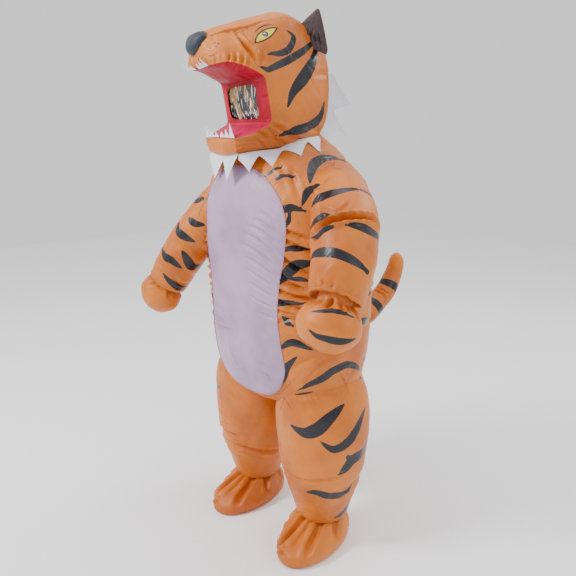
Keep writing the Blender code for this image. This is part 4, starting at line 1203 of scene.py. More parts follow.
@dataclass(frozen=True)
class Nylon(Finish):
    """Nylon cloth.

    Attributes:
        cloth: Colour of the cloth.
        deep: Shaded copy of the cloth colour, slightly darker or redder, painted in random soft patches and
            as painted shade along its seams.
        ink: Colour of its stripes.
        smoothness: Roughness of the cloth.
        gather: Height of the finest gathers at its seams, in metres.
        sheen: Weight of the soft sheen.
        gloss: Strength of its reflections.
        prints: Drawings on it.
    """

    cloth: Colour
    deep: Colour
    ink: Colour = (0.012, 0.012, 0.016)
    smoothness: float = 0.46
    gather: float = 0.0038
    sheen: float = 0.04
    gloss: float = 0.35
    prints: tuple = ()

    def dress(self, graph: Graph, shader: bpy.types.Node) -> None:
        """Paints, shines and wrinkles the cloth."""
        values = {"Mark": graph.attribute("mark"), "Seam": graph.attribute("seam")}
        # The second cloth colour is the shaded copy, used for the patches and the painted shade at the
        # seams.
        values |= {"Run": graph.attribute("run"), "Cloth": (*self.cloth, 1), "Shade": (*self.deep, 1)}
        values |= {"Ink": (*self.ink, 1), "Smoothness": self.smoothness, "Gather": self.gather}
        detail = graph.group(nylon_group(), values)
        colour = detail["Colour"]
        for drawing in self.prints:
            place = graph.attribute(drawing.attribute, "Vector")
            for shape, ink in drawing.shapes:
                mask = graph.ramp(shape.distance(graph, place), 0.0005, -0.0005)
                colour = graph.mix(mask, colour, (*ink, 1))
        graph.feed(shader.inputs["Base Color"], colour)
        graph.feed(shader.inputs["Roughness"], detail["Roughness"])
        shader.inputs["Sheen Weight"].default_value = self.sheen
        shader.inputs["Sheen Roughness"].default_value = 0.4
        shader.inputs["Specular IOR Level"].default_value = self.gloss
        graph.feed(shader.inputs["Normal"], graph.bump(detail["Height"]))


@dataclass(frozen=True)
class Film(Finish):
    """Clear crinkled film."""

    name: str = "crinkled_film"
    slot: str = "clear_film"
    clear: float = 0.15

    def dress(self, graph: Graph, shader: bpy.types.Node) -> None:
        """Streaks the film, and makes it clear between them."""
        place = graph.add("ShaderNodeTexCoord").outputs["Object"]
        skew = {"Location": (0.3, 0.1, 0.2), "Rotation": (0.3, 0.5, 0.2), "Scale": (2.6, 2.6, 0.55)}
        slant = graph.add("ShaderNodeMapping", {"Vector": place, **skew}).outputs[0]
        streaks = graph.noise(slant, 42.0, 3.0)
        gold = graph.ramp(graph.noise(place, 14.0, 2.0), 0.52, 0.62)
        dark = graph.mix(gold, (0.020, 0.016, 0.015, 1), (0.40, 0.22, 0.07, 1))
        light = graph.ramp(streaks, 0.565, 0.60)
        colour = graph.mix(light, dark, (0.95, 0.94, 0.92, 1))
        graph.feed(shader.inputs["Base Color"], colour)
        shader.inputs["Roughness"].default_value = 0.12
        graph.feed(shader.inputs["Alpha"], graph.ramp(streaks, 0.4, 0.62, (1 - self.clear, 0.97)))
        graph.feed(shader.inputs["Normal"], graph.bump(graph.sum("MULTIPLY", streaks, 0.006)))


BLACK = (0.010, 0.009, 0.010)
EYE = Inside(Disc(0.0, -0.0519, 0.0674), Disc(0.0, 0.0983, 0.1073))
PUPIL = Disc(0.0015, 0.0045, 0.0100)
EYE_PRINT = Print(
    "eye",
    (
        (Inside(EYE.first, EYE.second, 0.0048), BLACK),
        (EYE, (0.72, 0.52, 0.02)),
        (Inside(PUPIL, EYE), BLACK),
        (Inside(Disc(0.0015, 0.0045, 0.0068), EYE), (0.09, 0.12, 0.15)),
        (Disc(0.0005, 0.0075, 0.0025), (0.9, 0.9, 0.92)),
        (Inside(Disc(0.0060, -0.0270, 0.0610), Disc(0.0020, -0.0535, 0.0830), sign=-1), BLACK),
    ),
)
DOT_COLOUR = (0.10, 0.018, 0.012)
SIDE_DOTS = ((0.010, 0.020), (0.014, 0.004), (-0.006, 0.007), (0.022, 0.012))
FRONT_DOTS = ((0.022, 0.01), (0.036, 0.001), (0.03, -0.01), (0.05, 0.01), (0.047, -0.006), (0.064, 0.004))
PHILTRUM = Inside(Disc(-0.0742, -0.012, 0.0757), Disc(0.0742, -0.012, 0.0757))
DOTS_PRINT = Print("muzzle", tuple((Disc(x, y, 0.0030), DOT_COLOUR) for x, y in SIDE_DOTS))
FRONT_PRINT = Print(
    "muzzle", ((PHILTRUM, BLACK), *((Disc(x, y, 0.0030), DOT_COLOUR) for x, y in FRONT_DOTS))
)
EYE_PLACE = Placement("eye", (0.69, 3.18), (0.79, 3.73))
DOTS_PLACE = Placement("muzzle", (0.50, 0.25), (0.50, 0.60))
FRONT_PLACE = Placement("muzzle", (0.0, 0.22), (1.0, 0.22), True)
# Each finish gives a lit colour and then a shaded copy of it, which is painted in random soft patches and
# as painted shade along the seams.
ORANGE_LIT, ORANGE_SHADE = (0.60, 0.165, 0.012), (0.44, 0.100, 0.006)
ORANGE = Nylon("orange_cloth", "orange_nylon", ORANGE_LIT, ORANGE_SHADE)
FACE = Nylon("face_cloth", "orange_nylon", ORANGE_LIT, ORANGE_SHADE, prints=(EYE_PRINT, DOTS_PRINT))
SNOUT = Nylon("snout_cloth", "orange_nylon", ORANGE_LIT, ORANGE_SHADE, prints=(FRONT_PRINT,))
PINK = Nylon("belly_cloth", "belly_nylon", (0.42, 0.285, 0.415), (0.33, 0.215, 0.35), gather=0.0036)
PIPING = Nylon("piping_cloth", "belly_nylon", (0.80, 0.34, 0.50), (0.74, 0.30, 0.46), gather=0.0)
RED = Nylon("red_cloth", "red_nylon", (0.42, 0.0, 0.022), (0.28, 0.0, 0.012), sheen=0.0, gloss=0.14)
ROSE = Nylon("rose_cloth", "red_nylon", (0.62, 0.0, 0.085), (0.44, 0.0, 0.048), sheen=0.0, gloss=0.14)
NOSE = Nylon("nose_cloth", "nose_nylon", (0.018, 0.026, 0.038), (0.012, 0.018, 0.026), smoothness=0.52)
EAR = Nylon("ear_cloth", "ear_nylon", (0.070, 0.040, 0.040), (0.045, 0.026, 0.028), gather=0.004)
WHITE = Nylon(
    "white_cloth", "white_nylon", (0.74, 0.76, 0.84), (0.64, 0.66, 0.76), smoothness=0.5, gather=0.001
)
THREAD = Nylon("thread", "orange_nylon", (0.55, 0.17, 0.045), (0.5, 0.15, 0.04), gather=0.0)
FILM = Film()


# Piping and stitches


def curve_tree(name: str, stitched: bool) -> Tree:
    """Geometry Nodes that lay a cord or a row of stitches along a polyline.

    Args:
        name: Tree's name.
        stitched: Makes stitches; otherwise a cord.

    Returns:
        The tree, with inputs Radius, Pitch, Length and Material.
    """
    found = bpy.data.node_groups.get(name)
    if found:
        return found
    tree = bpy.data.node_groups.new(name, "GeometryNodeTree")
    tree.interface.new_socket("Geometry", in_out="INPUT", socket_type="NodeSocketGeometry")
    for key in ("Radius", "Pitch", "Length"):
        tree.interface.new_socket(key, in_out="INPUT", socket_type=FLOAT)
    tree.interface.new_socket("Material", in_out="INPUT", socket_type="NodeSocketMaterial")
    tree.interface.new_socket("Geometry", in_out="OUTPUT", socket_type="NodeSocketGeometry")
    graph = Graph(tree)
    given = graph.add("NodeGroupInput").outputs
    line = graph.add("GeometryNodeMeshToCurve", {"Mesh": given["Geometry"]}).outputs[0]
    rings = {"Curve": line, "Length": given["Pitch"]}
    line = graph.add("GeometryNodeResampleCurve", rings, mode="LENGTH").outputs[0]
    if stitched:
        points = graph.add("GeometryNodeCurveToPoints", {"Curve": line}, mode="EVALUATED")
        ahead = {"Rotation": points.outputs["Rotation"], "Vector": points.outputs["Tangent"]}
        turned = graph.add("FunctionNodeAlignRotationToVector", ahead, axis="Z").outputs[0]
        sizes = {"Vertices": 6, "Radius": given["Radius"], "Depth": given["Length"]}
        rod = graph.add("GeometryNodeMeshCylinder", sizes).outputs["Mesh"]
        placed = {"Points": points.outputs["Points"], "Instance": rod, "Rotation": turned}
        copies = graph.add("GeometryNodeInstanceOnPoints", placed).outputs[0]
        made = graph.add("GeometryNodeRealizeInstances", {0: copies}).outputs[0]
    else:
        ring = graph.add("GeometryNodeCurvePrimitiveCircle", {"Resolution": 8, "Radius": given["Radius"]})
        cord = {"Curve": line, "Profile Curve": ring.outputs[0], "Fill Caps": True}
        made = graph.add("GeometryNodeCurveToMesh", cord).outputs[0]
    dressed = {"Geometry": made, "Material": given["Material"]}
    made = graph.add("GeometryNodeSetMaterial", dressed).outputs[0]
    graph.add("NodeGroupOutput", {0: made})
    return tree


@dataclass
class Trim:
    """Cord or stitches along lines of points.

    Attributes:
        name: Piece's name.
        lines: Lines of points, above the ground.
        finish: Its material.
        radius: Half its thickness.
        pitch: Distance between stitches, or between the cord's rings.
        length: Length of a stitch, 0 for a cord.
        closed: Joins each line's end to its start.
    """

    name: str
    lines: list
    finish: Finish
    radius: float
    pitch: float
    length: float = 0.0
    closed: bool = False

    def build(self) -> Object:
        """Makes the trim with Geometry Nodes and keeps its plain mesh."""
        mesh = bpy.data.meshes.new(self.name)
        points, edges = [], []
        for line in self.lines:
            first = len(points)
            points += [tuple(p - UP * HOLD_HEIGHT) for p in line]
            edges += [(k, k + 1) for k in range(first, len(points) - 1)]
            if self.closed:
                edges.append((len(points) - 1, first))
        mesh.from_pydata(points, edges, [])
        obj = link_new(self.name + "_path", mesh)
        tree = curve_tree("stitches" if self.length else "cord", bool(self.length))
        modifier = obj.modifiers.new("trim", "NODES")
        modifier.node_group = tree
        items = tree.interface.items_tree
        sockets = {item.name: item.identifier for item in items if item.in_out == "INPUT"}
        modifier[sockets["Radius"]] = self.radius
        modifier[sockets["Pitch"]] = self.pitch
        modifier[sockets["Length"]] = self.length
        modifier[sockets["Material"]] = self.finish.material()
        bpy.context.view_layer.update()
        graph = bpy.context.evaluated_depsgraph_get()
        made = bpy.data.meshes.new_from_object(obj.evaluated_get(graph))
        bpy.data.objects.remove(obj)
        made.name = self.name
        made.shade_smooth()
        made.set_sharp_from_angle(angle=math.radians(50))
        return add_piece(self.name, made, self.finish)


# Radius, pitch and length of stitches
STITCH = (0.0004, 0.0045, 0.0030)


# Body


def mirrored(marks: tuple) -> tuple:
    """The same stripes or creases on the other side."""
    return tuple(replace(mark, points=tuple((-u, v) for u, v in mark.points)) for mark in marks)


@dataclass
class Torso:
    """Body of the costume: belly, two front and two back panels, placket and gusset.

    Attributes:
        neighbours: Volumes of the limbs, the tail and the head.
        legs: Volumes of the legs.
    """

    neighbours: tuple
    legs: tuple
    form: TorsoForm = field(default_factory=TorsoForm)
    piping_inset: float = 0.0005
    piping_rise: float = 0.0008
    placket_half: float = 15.5
    placket_span: tuple = (0.80, 1.36)
    placket_rise: float = 0.0046
    stitch_rise: float = 0.0074
    stitch_inset: float = 1.2
    front_stripes: tuple = draw_stripes(
        (0.013, 0, 0, (23, 1.378), (34, 1.398), (45, 1.42)),
        (0.016, 0, 0, (32, 1.366), (42, 1.384), (53, 1.388)),
        (0.026, 0.2, 0.35, (34, 1.262), (37, 1.282), (43, 1.29), (52, 1.28)),
        (0.016, 0.9, 0, (41, 1.276), (40, 1.25), (36, 1.215)),
        (0.019, 0, 0.3, (33, 1.146), (42, 1.161), (56, 1.16)),
        (0.04, 0, 0.6, (31, 1.03), (38, 1.075), (46, 1.108), (58, 1.12)),
        (0.018, 0.5, 0, (41, 1.06), (47, 1.062), (54, 1.056)),
        (0.026, 0, 0.4, (26, 0.958), (34, 0.974), (52, 0.98)),
        (0.022, 0, 0.5, (35, 0.93), (38, 0.911), (43, 0.898)),
        (0.026, 0, 0, (32, 0.804), (43, 0.838), (59, 0.815)),
        (0.034, 0.1, 0, (29, 0.652), (34, 0.694), (37, 0.735), (47, 0.796)),
        (0.026, 0.2, 0.2, (50, 1.296), (57, 1.34), (72, 1.362)),
    )
    side_stripes: tuple = draw_stripes(
        (
            0.034, 0, 0,
            (44, 0.648), (56, 0.685), (66, 0.708), (76, 0.734), (86, 0.744), (98, 0.722), (108, 0.685),
        ),
        (0.036, 0.1, 0.4, (60, 1.36), (66, 1.396), (75, 1.424), (93, 1.44), (116, 1.424)),
        (0.032, 0.2, 0, (72, 1.115), (90, 1.135), (112, 1.12)),
        (0.034, 0.3, 0, (66, 0.985), (88, 1.0), (118, 0.975)),
        (0.028, 0, 0, (76, 0.87), (96, 0.89), (122, 0.872)),
    )
    back_stripes: tuple = draw_stripes(
        (0.02, 0, 0, (158, 1.34), (140, 1.362), (120, 1.35)),
        (0.03, 0, 0, (162, 1.215), (142, 1.238), (118, 1.222)),
        (0.034, 0, 0, (164, 1.075), (146, 1.1), (124, 1.082)),
        (0.03, 0, 0, (162, 0.93), (144, 0.952), (130, 0.94)),
        (0.032, 0, 0, (156, 0.8), (138, 0.828), (112, 0.815)),
        (0.026, 0, 0, (140, 0.7), (124, 0.712), (106, 0.742)),
    )
    front_creases: tuple = draw_creases(
        (0.009, 0.014, (33, 1.225), (44, 1.205), (55, 1.19)),
        (0.01, 0.015, (35, 1.19), (47, 1.163), (60, 1.14)),
        (0.011, 0.016, (33, 1.135), (44, 1.098), (56, 1.075)),
        (0.01, 0.015, (31, 1.085), (41, 1.04), (52, 1.022)),
        (0.011, 0.015, (30, 1.02), (42, 1.0), (57, 0.996)),
        (0.009, 0.014, (28, 0.985), (41, 0.964), (60, 0.955)),
        (0.006, 0.009, (34, 1.112), (40, 1.09), (50, 1.068)),
        (0.006, 0.009, (31, 1.052), (37, 1.036), (47, 1.03)),
        (0.006, 0.01, (29, 0.948), (38, 0.94), (52, 0.938)),
        (0.007, 0.015, (32, 0.905), (44, 0.925), (58, 0.92)),
        (0.006, 0.02, (36, 0.86), (52, 0.852), (70, 0.862)),
        (0.006, 0.02, (54, 1.42), (49, 1.372), (50, 1.32)),
        (0.005, 0.018, (40, 1.432), (43, 1.4), (52, 1.372)),
        (0.005, 0.022, (62, 0.8), (48, 0.77), (38, 0.715)),
        (0.004, 0.018, (70, 0.79), (60, 0.75), (52, 0.69)),
    )
    belly_creases: tuple = draw_creases(
        (0.0045, 0.011, (32, 1.236), (25, 1.262), (21, 1.272)),
        (0.0055, 0.012, (32, 1.204), (22, 1.236), (16, 1.246)),
        (0.0055, 0.012, (33, 1.168), (22, 1.206), (12, 1.222)),
        (0.006, 0.013, (33, 1.13), (20, 1.174), (8, 1.196)),
        (0.006, 0.013, (32, 1.094), (19, 1.134), (6, 1.16)),
        (0.006, 0.013, (31, 1.056), (20, 1.09), (8, 1.12)),
        (0.0055, 0.012, (30, 1.022), (19, 1.048), (7, 1.078)),
        (0.005, 0.012, (30, 0.986), (20, 1.006), (9, 1.03)),
        (0.0045, 0.012, (30, 0.95), (20, 0.962), (10, 0.984)),
        (0.004, 0.011, (31, 0.912), (24, 0.918), (14, 0.934)),
        (0.004, 0.012, (-30, 0.908), (-22, 0.894), (-14, 0.896)),
        (0.005, 0.013, (-31, 0.872), (-20, 0.848), (-8, 0.842)),
        (0.005, 0.014, (-32, 0.836), (-18, 0.816), (-2, 0.824)),
        (0.0035, 0.012, (-32, 0.786), (-20, 0.778), (-12, 0.766)),
        (0.0035, 0.013, (-8, 0.772), (-6, 0.73), (0, 0.69)),
        (0.004, 0.011, (28, 0.672), (22, 0.696), (14, 0.702)),
        (0.0035, 0.011, (31, 0.706), (24, 0.73), (16, 0.738)),
    )
    back_creases: tuple = draw_creases(
        (0.006, 0.02, (108, 1.23), (122, 1.202), (138, 1.196)),
        (0.007, 0.022, (100, 1.12), (118, 1.088), (136, 1.084)),
        (0.006, 0.02, (98, 1.01), (114, 0.988), (134, 0.992)),
        (0.005, 0.022, (104, 0.88), (124, 0.862), (142, 0.872)),
        (0.005, 0.024, (126, 1.42), (134, 1.372), (130, 1.32)),
        (0.005, 0.024, (150, 0.79), (142, 0.75), (144, 0.712)),
    )

    def build(self) -> None:
        """Builds every piece of the body."""
        for word, sign in SIDES:
            side = 90.0 * sign
            halves = (
                ("front", (belly_side(sign), side), self.front_stripes, self.front_creases, 11),
                ("back", (side, 2 * side), self.back_stripes, self.back_creases, 15),
            )
            for part, across, stripes, creases, seed in halves:
                stripes += self.side_stripes
                Panel(
                    f"{part}_{word}", self.form, across, (TORSO[0][0], TORSO[-1][0]), ORANGE, SIDE_SEAMS,
                    stripes=stripes if sign > 0 else mirrored(stripes),
                    creases=creases if sign > 0 else mirrored(creases),
                    clear_of=self.neighbours, seed=seed + sign,
                ).build()
        across, along = (belly_side(-1), belly_side(1)), (BELLY[0][0], BELLY[-1][0])
        Panel(
            "belly_panel", self.form, across, along, PINK, SIDE_SEAMS, 0.0048,
            creases=self.belly_creases, clear_of=self.legs, pucker=0.0020, seed=21,
        ).build()
        self.add_piping()
        self.add_placket()
        Panel(
            "crotch_gusset", GussetForm(), TURN, (1.0, 0.06), ORANGE, (Edge.LOW,),
            around=True, closed=True, clear_of=self.legs, bulge=0.001, seed=31,
        ).build()

    def add_piping(self) -> None:
        """Light pink cord round the belly."""
        low, high = BELLY[0][0] + self.piping_inset, BELLY[-1][0] - self.piping_inset
        v = low + (high - low) * (0.5 - 0.5 * np.cos(np.linspace(0, math.pi, 240)))
        up, down = (
            self.form.point(u, v) + self.form.normal(u, v) * self.piping_rise
            for u in (belly_edge(v), -belly_edge(v))
        )
        Trim("belly_piping", [np.concatenate([up, down[::-1]])], PIPING, 0.0019, 0.006, closed=True).build()

    def add_placket(self) -> None:
        """Flap over the back opening, laid on the back panels, with a row of stitches down each side."""
        half, (low, high) = self.placket_half, self.placket_span
        Panel(
            "back_placket", self.form, (180.0 - half, 180.0 + half), (low, high), ORANGE, (),
            bulge=0.0, lifted=self.placket_rise,
        ).build()
        v = np.linspace(low + 0.006, high - 0.006, 90)
        lines = [
            self.form.point(u + 0 * v, v) + self.form.normal(u + 0 * v, v) * self.stitch_rise
            for u in (180 - half + self.stitch_inset, 180 + half - self.stitch_inset)
        ]
        Trim("placket_stitches", lines, THREAD, *STITCH).build()


class GussetForm(Form):
    """Shallow bowl between the legs: u is the angle in degrees, v the share of its radius."""

    def point(self, u: Array, v: Array) -> Array:
        """Points of the bowl."""
        low = TORSO[0][0]
        rim = TorsoForm().point(u, low + 0 * (u + v))
        centre = np.array((0.0, 0.0, low))
        place = centre + (rim - centre) * (v + 0 * u)[..., None]
        place[..., 2] = low - 0.010 * (1 - v**2)
        return place


# Limbs, mitts, tail and feet

LEFT_ARM = (
    (0.140, 0.005, 1.295, 0.096, 0.100),
    (0.245, -0.015, 1.305, 0.108, 0.108),
    (0.340, -0.058, 1.258, 0.108, 0.106),
    (0.402, -0.108, 1.190, 0.101, 0.102),
    (0.430, -0.142, 1.130, 0.096, 0.097),
    (0.439, -0.165, 1.076, 0.091, 0.092),
    (0.444, -0.184, 1.026, 0.084, 0.087),
)
CUFF_ARCH = (62.0, 88.0, 0.030, 0.80)
RIGHT_ARM = (
    (-0.140, 0.005, 1.290, 0.092, 0.096),
    (-0.235, -0.020, 1.298, 0.098, 0.100),
    (-0.308, -0.078, 1.232, 0.096, 0.097),
    (-0.362, -0.140, 1.150, 0.090, 0.090),
    (-0.408, -0.184, 1.070, 0.086, 0.086),
    (-0.452, -0.216, 0.990, 0.081, 0.082),
    (-0.484, -0.236, 0.928, 0.075, 0.077),
)
RIGHT_ARM_FOLDS = ((0.640, 0.030, 0.010, 0.065, 180.0, 100.0),)
LEFT_LEG = (
    (0.148, 0.005, 0.700, 0.112, 0.140),
    (0.178, 0.005, 0.625, 0.144, 0.172),
    (0.194, 0.004, 0.545, 0.161, 0.178),
    (0.202, 0.002, 0.460, 0.164, 0.172),
    (0.204, 0.000, 0.360, 0.156, 0.162),
    (0.204, 0.000, 0.270, 0.138, 0.144),
    (0.203, 0.002, 0.190, 0.113, 0.118),
    (0.202, 0.004, 0.115, 0.092, 0.094),
)
RIGHT_LEG = tuple((-row[0], *row[1:]) for row in LEFT_LEG)
LEFT_LEG_FOLDS = ((0.715, 0.020, 0.009, 0.055, -60.0, 95.0),)
RIGHT_LEG_FOLDS = ((0.665, 0.020, 0.009, 0.055, -60.0, 95.0),)
TAIL = (
    (0.000, 0.175, 0.705, 0.050, 0.050),
    (0.000, 0.270, 0.722, 0.049, 0.049),
    (0.000, 0.360, 0.744, 0.048, 0.048),
    (0.000, 0.460, 0.782, 0.046, 0.046),
    (0.000, 0.545, 0.840, 0.043, 0.043),
    (0.000, 0.600, 0.910, 0.039, 0.039),
    (0.000, 0.620, 0.968, 0.034, 0.034),
    (0.000, 0.622, 0.998, 0.022, 0.022),
    (0.000, 0.623, 1.010, 0.007, 0.007),
)
# Along the arm from the sleeve's end, aside, forward sag, then wide and deep
LEFT_MITT = (
    (-0.0240, 0.000, 0.000, 0.0550, 0.0550),
    (0.0040, 0.000, 0.000, 0.0558, 0.0558),
    (0.0360, 0.000, 0.002, 0.0910, 0.0770),
    (0.0780, -0.002, 0.006, 0.1030, 0.0850),
    (0.1200, -0.004, 0.010, 0.0860, 0.0700),
    (0.1460, -0.005, 0.013, 0.0460, 0.0380),
    (0.1540, -0.006, 0.014, 0.0070, 0.0070),
)
RIGHT_MITT = (
    (-0.0240, 0.000, 0.000, 0.0530, 0.0530),
    (0.0040, 0.000, 0.000, 0.0538, 0.0538),
    (0.0340, 0.000, 0.004, 0.0800, 0.0690),
    (0.0720, 0.002, 0.010, 0.0860, 0.0720),
    (0.1060, 0.004, 0.018, 0.0680, 0.0580),
    (0.1300, 0.006, 0.024, 0.0340, 0.0300),
    (0.1370, 0.007, 0.026, 0.0070, 0.0070),
)
MITT_FOLDS = tuple(
    (0.250, 0.000, depth, 0.120, middle, reach)
    for depth, middle, reach in (
        (0.007, 40.0, 22.0), (0.008, 95.0, 20.0), (0.007, 150.0, 22.0),
        (0.008, -145.0, 24.0), (0.007, -85.0, 22.0), (0.008, -25.0, 24.0),
    )
)

# Radius that the hem's gathers are read at, and their height
HEM_GATHERS, HEM_SWELL = 0.06, 0.0022
# Share of the way in to the hem's ring, share of its depth, rise past the tube's end, and normal
HEM_ROWS = (
    (0.02, 0.00, 0.0020, 0.8, 0.6),
    (0.08, 0.00, 0.0038, 0.3, 1.0),
    (0.20, 0.00, 0.0034, -0.3, 1.0),
    (0.40, 0.25, 0.0010, -0.5, 1.0),
    (0.62, 0.50, 0.0000, -0.6, 0.9),
    (0.82, 0.80, 0.0000, -0.8, 0.6),
    (1.00, 1.05, 0.0000, -1.0, 0.3),
)


@dataclass
class Limb:
    """Sleeve or trouser leg: an outer and an inner panel with a rolled hem.

    Attributes:
        hem_radius: Radius of the gathered ring in its end.
        hem_depth: How far that ring lies inside.
        body: Volume of the torso, which it is sewn to.

    Its other fields are as in Panel.
    """

    name: str
    form: TubeForm
    hem_radius: float
    hem_depth: float
    body: Volume
    stripes: tuple = ()
    creases: tuple = ()
    seed: int = 1

    def volume(self) -> Volume:
        """Volume inside the limb."""
        return Volume(tube_rings(self.form))

    def build(self) -> None:
        """Builds both panels and the hem's stitches."""
        hems = []
        for part, first, last in (("outer", -90.0, 90.0), ("inner", 90.0, 270.0)):
            panel = Panel(
                f"{self.name}_{part}", self.form, (first, last), WHOLE, ORANGE, SIDE_SEAMS,
                stripes=self.stripes, creases=self.creases, clear_of=(self.body,),
                rim_of=self.hem, seed=self.seed,
            )
            panel.build()
            hems.append(panel.outer[-len(HEM_ROWS) - 2])
        ring = np.concatenate([hems[0], hems[1][1:-1]])
        away = unit(ring - self.form.frames(np.array([1.0]))[0])
        Trim(self.name + "_stitches", [ring + away * 0.0003], THREAD, *STITCH, closed=True).build()

    def hem(self, ring: Array, normals: Array) -> tuple[Array, Array]:
        """Rows of cloth rolled in from the tube's end to a gathered ring.

        Args:
            ring: Last row of the tube.
            normals: Its normals; not used.

        Returns:
            The hem's rows and their normals.
        """
        centre, direction, _, _ = (value[0] for value in self.form.frames(np.array([1.0])))
        away = ring - centre
        ahead_of_end = away @ direction
        away = away - direction * ahead_of_end[:, None]
        radius = np.linalg.norm(away, axis=-1)
        radial = unit(away)
        places = radial * HEM_GATHERS
        gathers = unevenness(places, 0.020, self.seed) + 0.6 * unevenness(places, 0.011, 5)
        rows, turns = [], []
        for share, back, ahead, out, along in HEM_ROWS:
            size = radius + (self.hem_radius - radius) * share
            rise = ahead - back * self.hem_depth + ahead_of_end * (1 - share)
            swell = math.sin(math.pi * min(share * 1.1, 1))
            rise = rise + (HEM_SWELL - 0.08 * ahead_of_end) * gathers * swell
            rows.append(centre + radial * size[:, None] + direction * rise[:, None])
            turns.append(unit(radial * out + direction * along))
        return np.array(rows), np.array(turns)


def tube_rings(form: TubeForm, last: float = 1.0) -> Array:
    """Closed rings along a tube."""
    v = np.linspace(0, last, 40)[:, None]
    u = np.linspace(0, 360, 48, endpoint=False)[None, :]
    return form.point(*np.broadcast_arrays(u, v))


@dataclass
class Pouch:
    """Closed bag along a tube: the tail or a mitt.

    Attributes:
        body: Volume that it is sewn to, or None.

    Its other fields are as in Panel.
    """

    name: str
    form: TubeForm
    stripes: tuple = ()
    creases: tuple = ()
    body: Volume | None = None
    seed: int = 1

    def build(self) -> None:
        """Builds the bag."""
        Panel(
            self.name, self.form, TURN, WHOLE, ORANGE, (), 0.0052, self.stripes, self.creases,
            clear_of=(self.body,) if self.body else (),
            around=True, closed=True, pucker=0.002, bulge=0.001, seed=self.seed,
        ).build()


def mitt_form(sleeve: TubeForm, table: tuple, outwards: tuple) -> TubeForm:
    """Tube of a mitt that starts in its sleeve's end."""
    end, ahead, _, _ = (value[0] for value in sleeve.frames(np.array([1.0])))
    rows = []
    for along, aside, drop, wide, deep in table:
        centre = end + ahead * along + np.array((aside, -drop, 0.0))
        rows.append((*(float(c) for c in centre), wide, deep))
    return TubeForm(tuple(rows), outwards, MITT_FOLDS)


@dataclass
class Foot:
    """Shoe cover on its flat sole, with the word left or right in its name."""

    word: str
    form: ShoeForm
    creases: tuple

    def build(self) -> None:
        """Builds the cover and the sole."""
        Panel(
            "shoe_cover_" + self.word, self.form, TURN_BACK, (0.0, SHOE[-1][0]), ORANGE, (Edge.LOW,), 0.005,
            creases=self.creases, around=True, pucker=0.0012, bulge=0.001, held=Held.GATHERED, seed=41,
        ).build()
        Panel(
            "sole_" + self.word, SoleForm(self.form), TURN_BACK, (1.0, 0.06), ORANGE, (), 0.008,
            around=True, closed=True, flat=True,
        ).build()


@dataclass
class SoleForm(Form):
    """Flat sole inside a shoe cover's lower edge: u is the turn in degrees, v the share of its size."""

    shoe: ShoeForm

    def point(self, u: Array, v: Array) -> Array:
        """Points of the sole."""
        rim = self.shoe.point(u + 0 * v, 0 * (u + v))
        middle = np.array((self.shoe.x, self.shoe.y, 0.0)) + self.shoe.toe() * 0.055
        place = middle + (rim - middle) * (v * 0.985 + 0 * u)[..., None]
        place[..., 2] = 0.0
        return place


# Head


@dataclass
class CapForm(HeadForm):
    """Panel that closes one end of the bent tube: u from -1 on the right to 1, v the rise.

    Attributes:
        section: End that it closes.
        forward: How far it swells forward.
        tilt: Share of that which goes up.
    """

    section: float
    forward: float
    tilt: float

    def point(self, u: Array, v: Array) -> Array:
        """Points of the cap."""
        at = np.array([float(self.section)])
        inner, outer, radial = self.lines(at)
        low, high, swell, drop = (
            self.value(at, name)[0] for name in ("inner_half", "outer_half", "side_swell", "crown_drop")
        )
        half = low + (high - low) * v + swell * np.sin(math.pi * v)
        top = outer[0] - radial[0] * drop * (np.abs(u) ** 2.2 + 0 * v)[..., None]
        points = inner[0] * (1 - v)[..., None] + top * (v + 0 * u)[..., None]
        points = points + HEAD_LEFT * (half * u)[..., None]
        puff = (1 - np.abs(u) ** 3) * (1 - np.abs(2 * v - 1) ** 3)
        return points + (HEAD_FORWARD + UP * self.tilt) * (self.forward * puff)[..., None]

    def middle(self, u: Array, v: Array) -> Array:
        """Points behind the cap."""
        return self.point(u, v) - HEAD_FORWARD


WINDOW_HALF, WINDOW_SHIFT, WINDOW_SQUARE = 0.66, -0.06, 0.45
WINDOW_LOW, WINDOW_HIGH = 5.9, 9.7


class WallForm(MouthForm):
    """Surface at the throat wall: u is the turn in degrees round the window."""

    steps = (0.2, 0.002)
    gap = 0.0

    @staticmethod
    def window(u: Array) -> tuple[Array, Array, Array, float]:
        """Turn in radians, the window's half width and half length there, and its middle section."""
        turn = np.radians(u)
        middle, reach = (WINDOW_LOW + WINDOW_HIGH) / 2, (WINDOW_HIGH - WINDOW_LOW) / 2
        half = signed_power(np.cos(turn), WINDOW_SQUARE) * WINDOW_HALF
        return turn, half, signed_power(np.sin(turn), WINDOW_SQUARE) * reach, middle

    def place(self, u: Array, v: Array) -> tuple[Array, Array]:
        """Share across and section of each point."""
        raise NotImplementedError

    def point(self, u: Array, v: Array) -> Array:
        """Points of the surface."""
        at = self.place(u, v)
        return MouthForm.point(self, *at) - MOUTH.normal(*at) * self.gap

    def middle(self, u: Array, v: Array) -> Array:
        """Middle of each section's air chamber."""
        return MouthForm.middle(self, *self.place(u, v))

    def normal(self, u: Array, v: Array) -> Array:
        """Normals of the wall, read across it so that the window's corners do no harm."""
        return MOUTH.normal(*self.place(u, v))


class ThroatForm(WallForm):
    """Throat wall round its window: v from 0 at the window to 1 at the wall's edge."""

    def place(self, u: Array, v: Array) -> tuple[Array, Array]:
        """Share across and section of each point."""
        turn, half, reach, middle = self.window(u)
        wall_middle, wall_reach = (THROAT_END + PALATE_END) / 2, (THROAT_END - PALATE_END) / 2
        edge = np.maximum(np.abs(np.cos(turn)), np.abs(np.sin(turn)))
        across = (WINDOW_SHIFT + half) * (1 - v) + np.cos(turn) / edge * v
        return across, (middle + reach) * (1 - v) + (wall_middle + np.sin(turn) / edge * wall_reach) * v


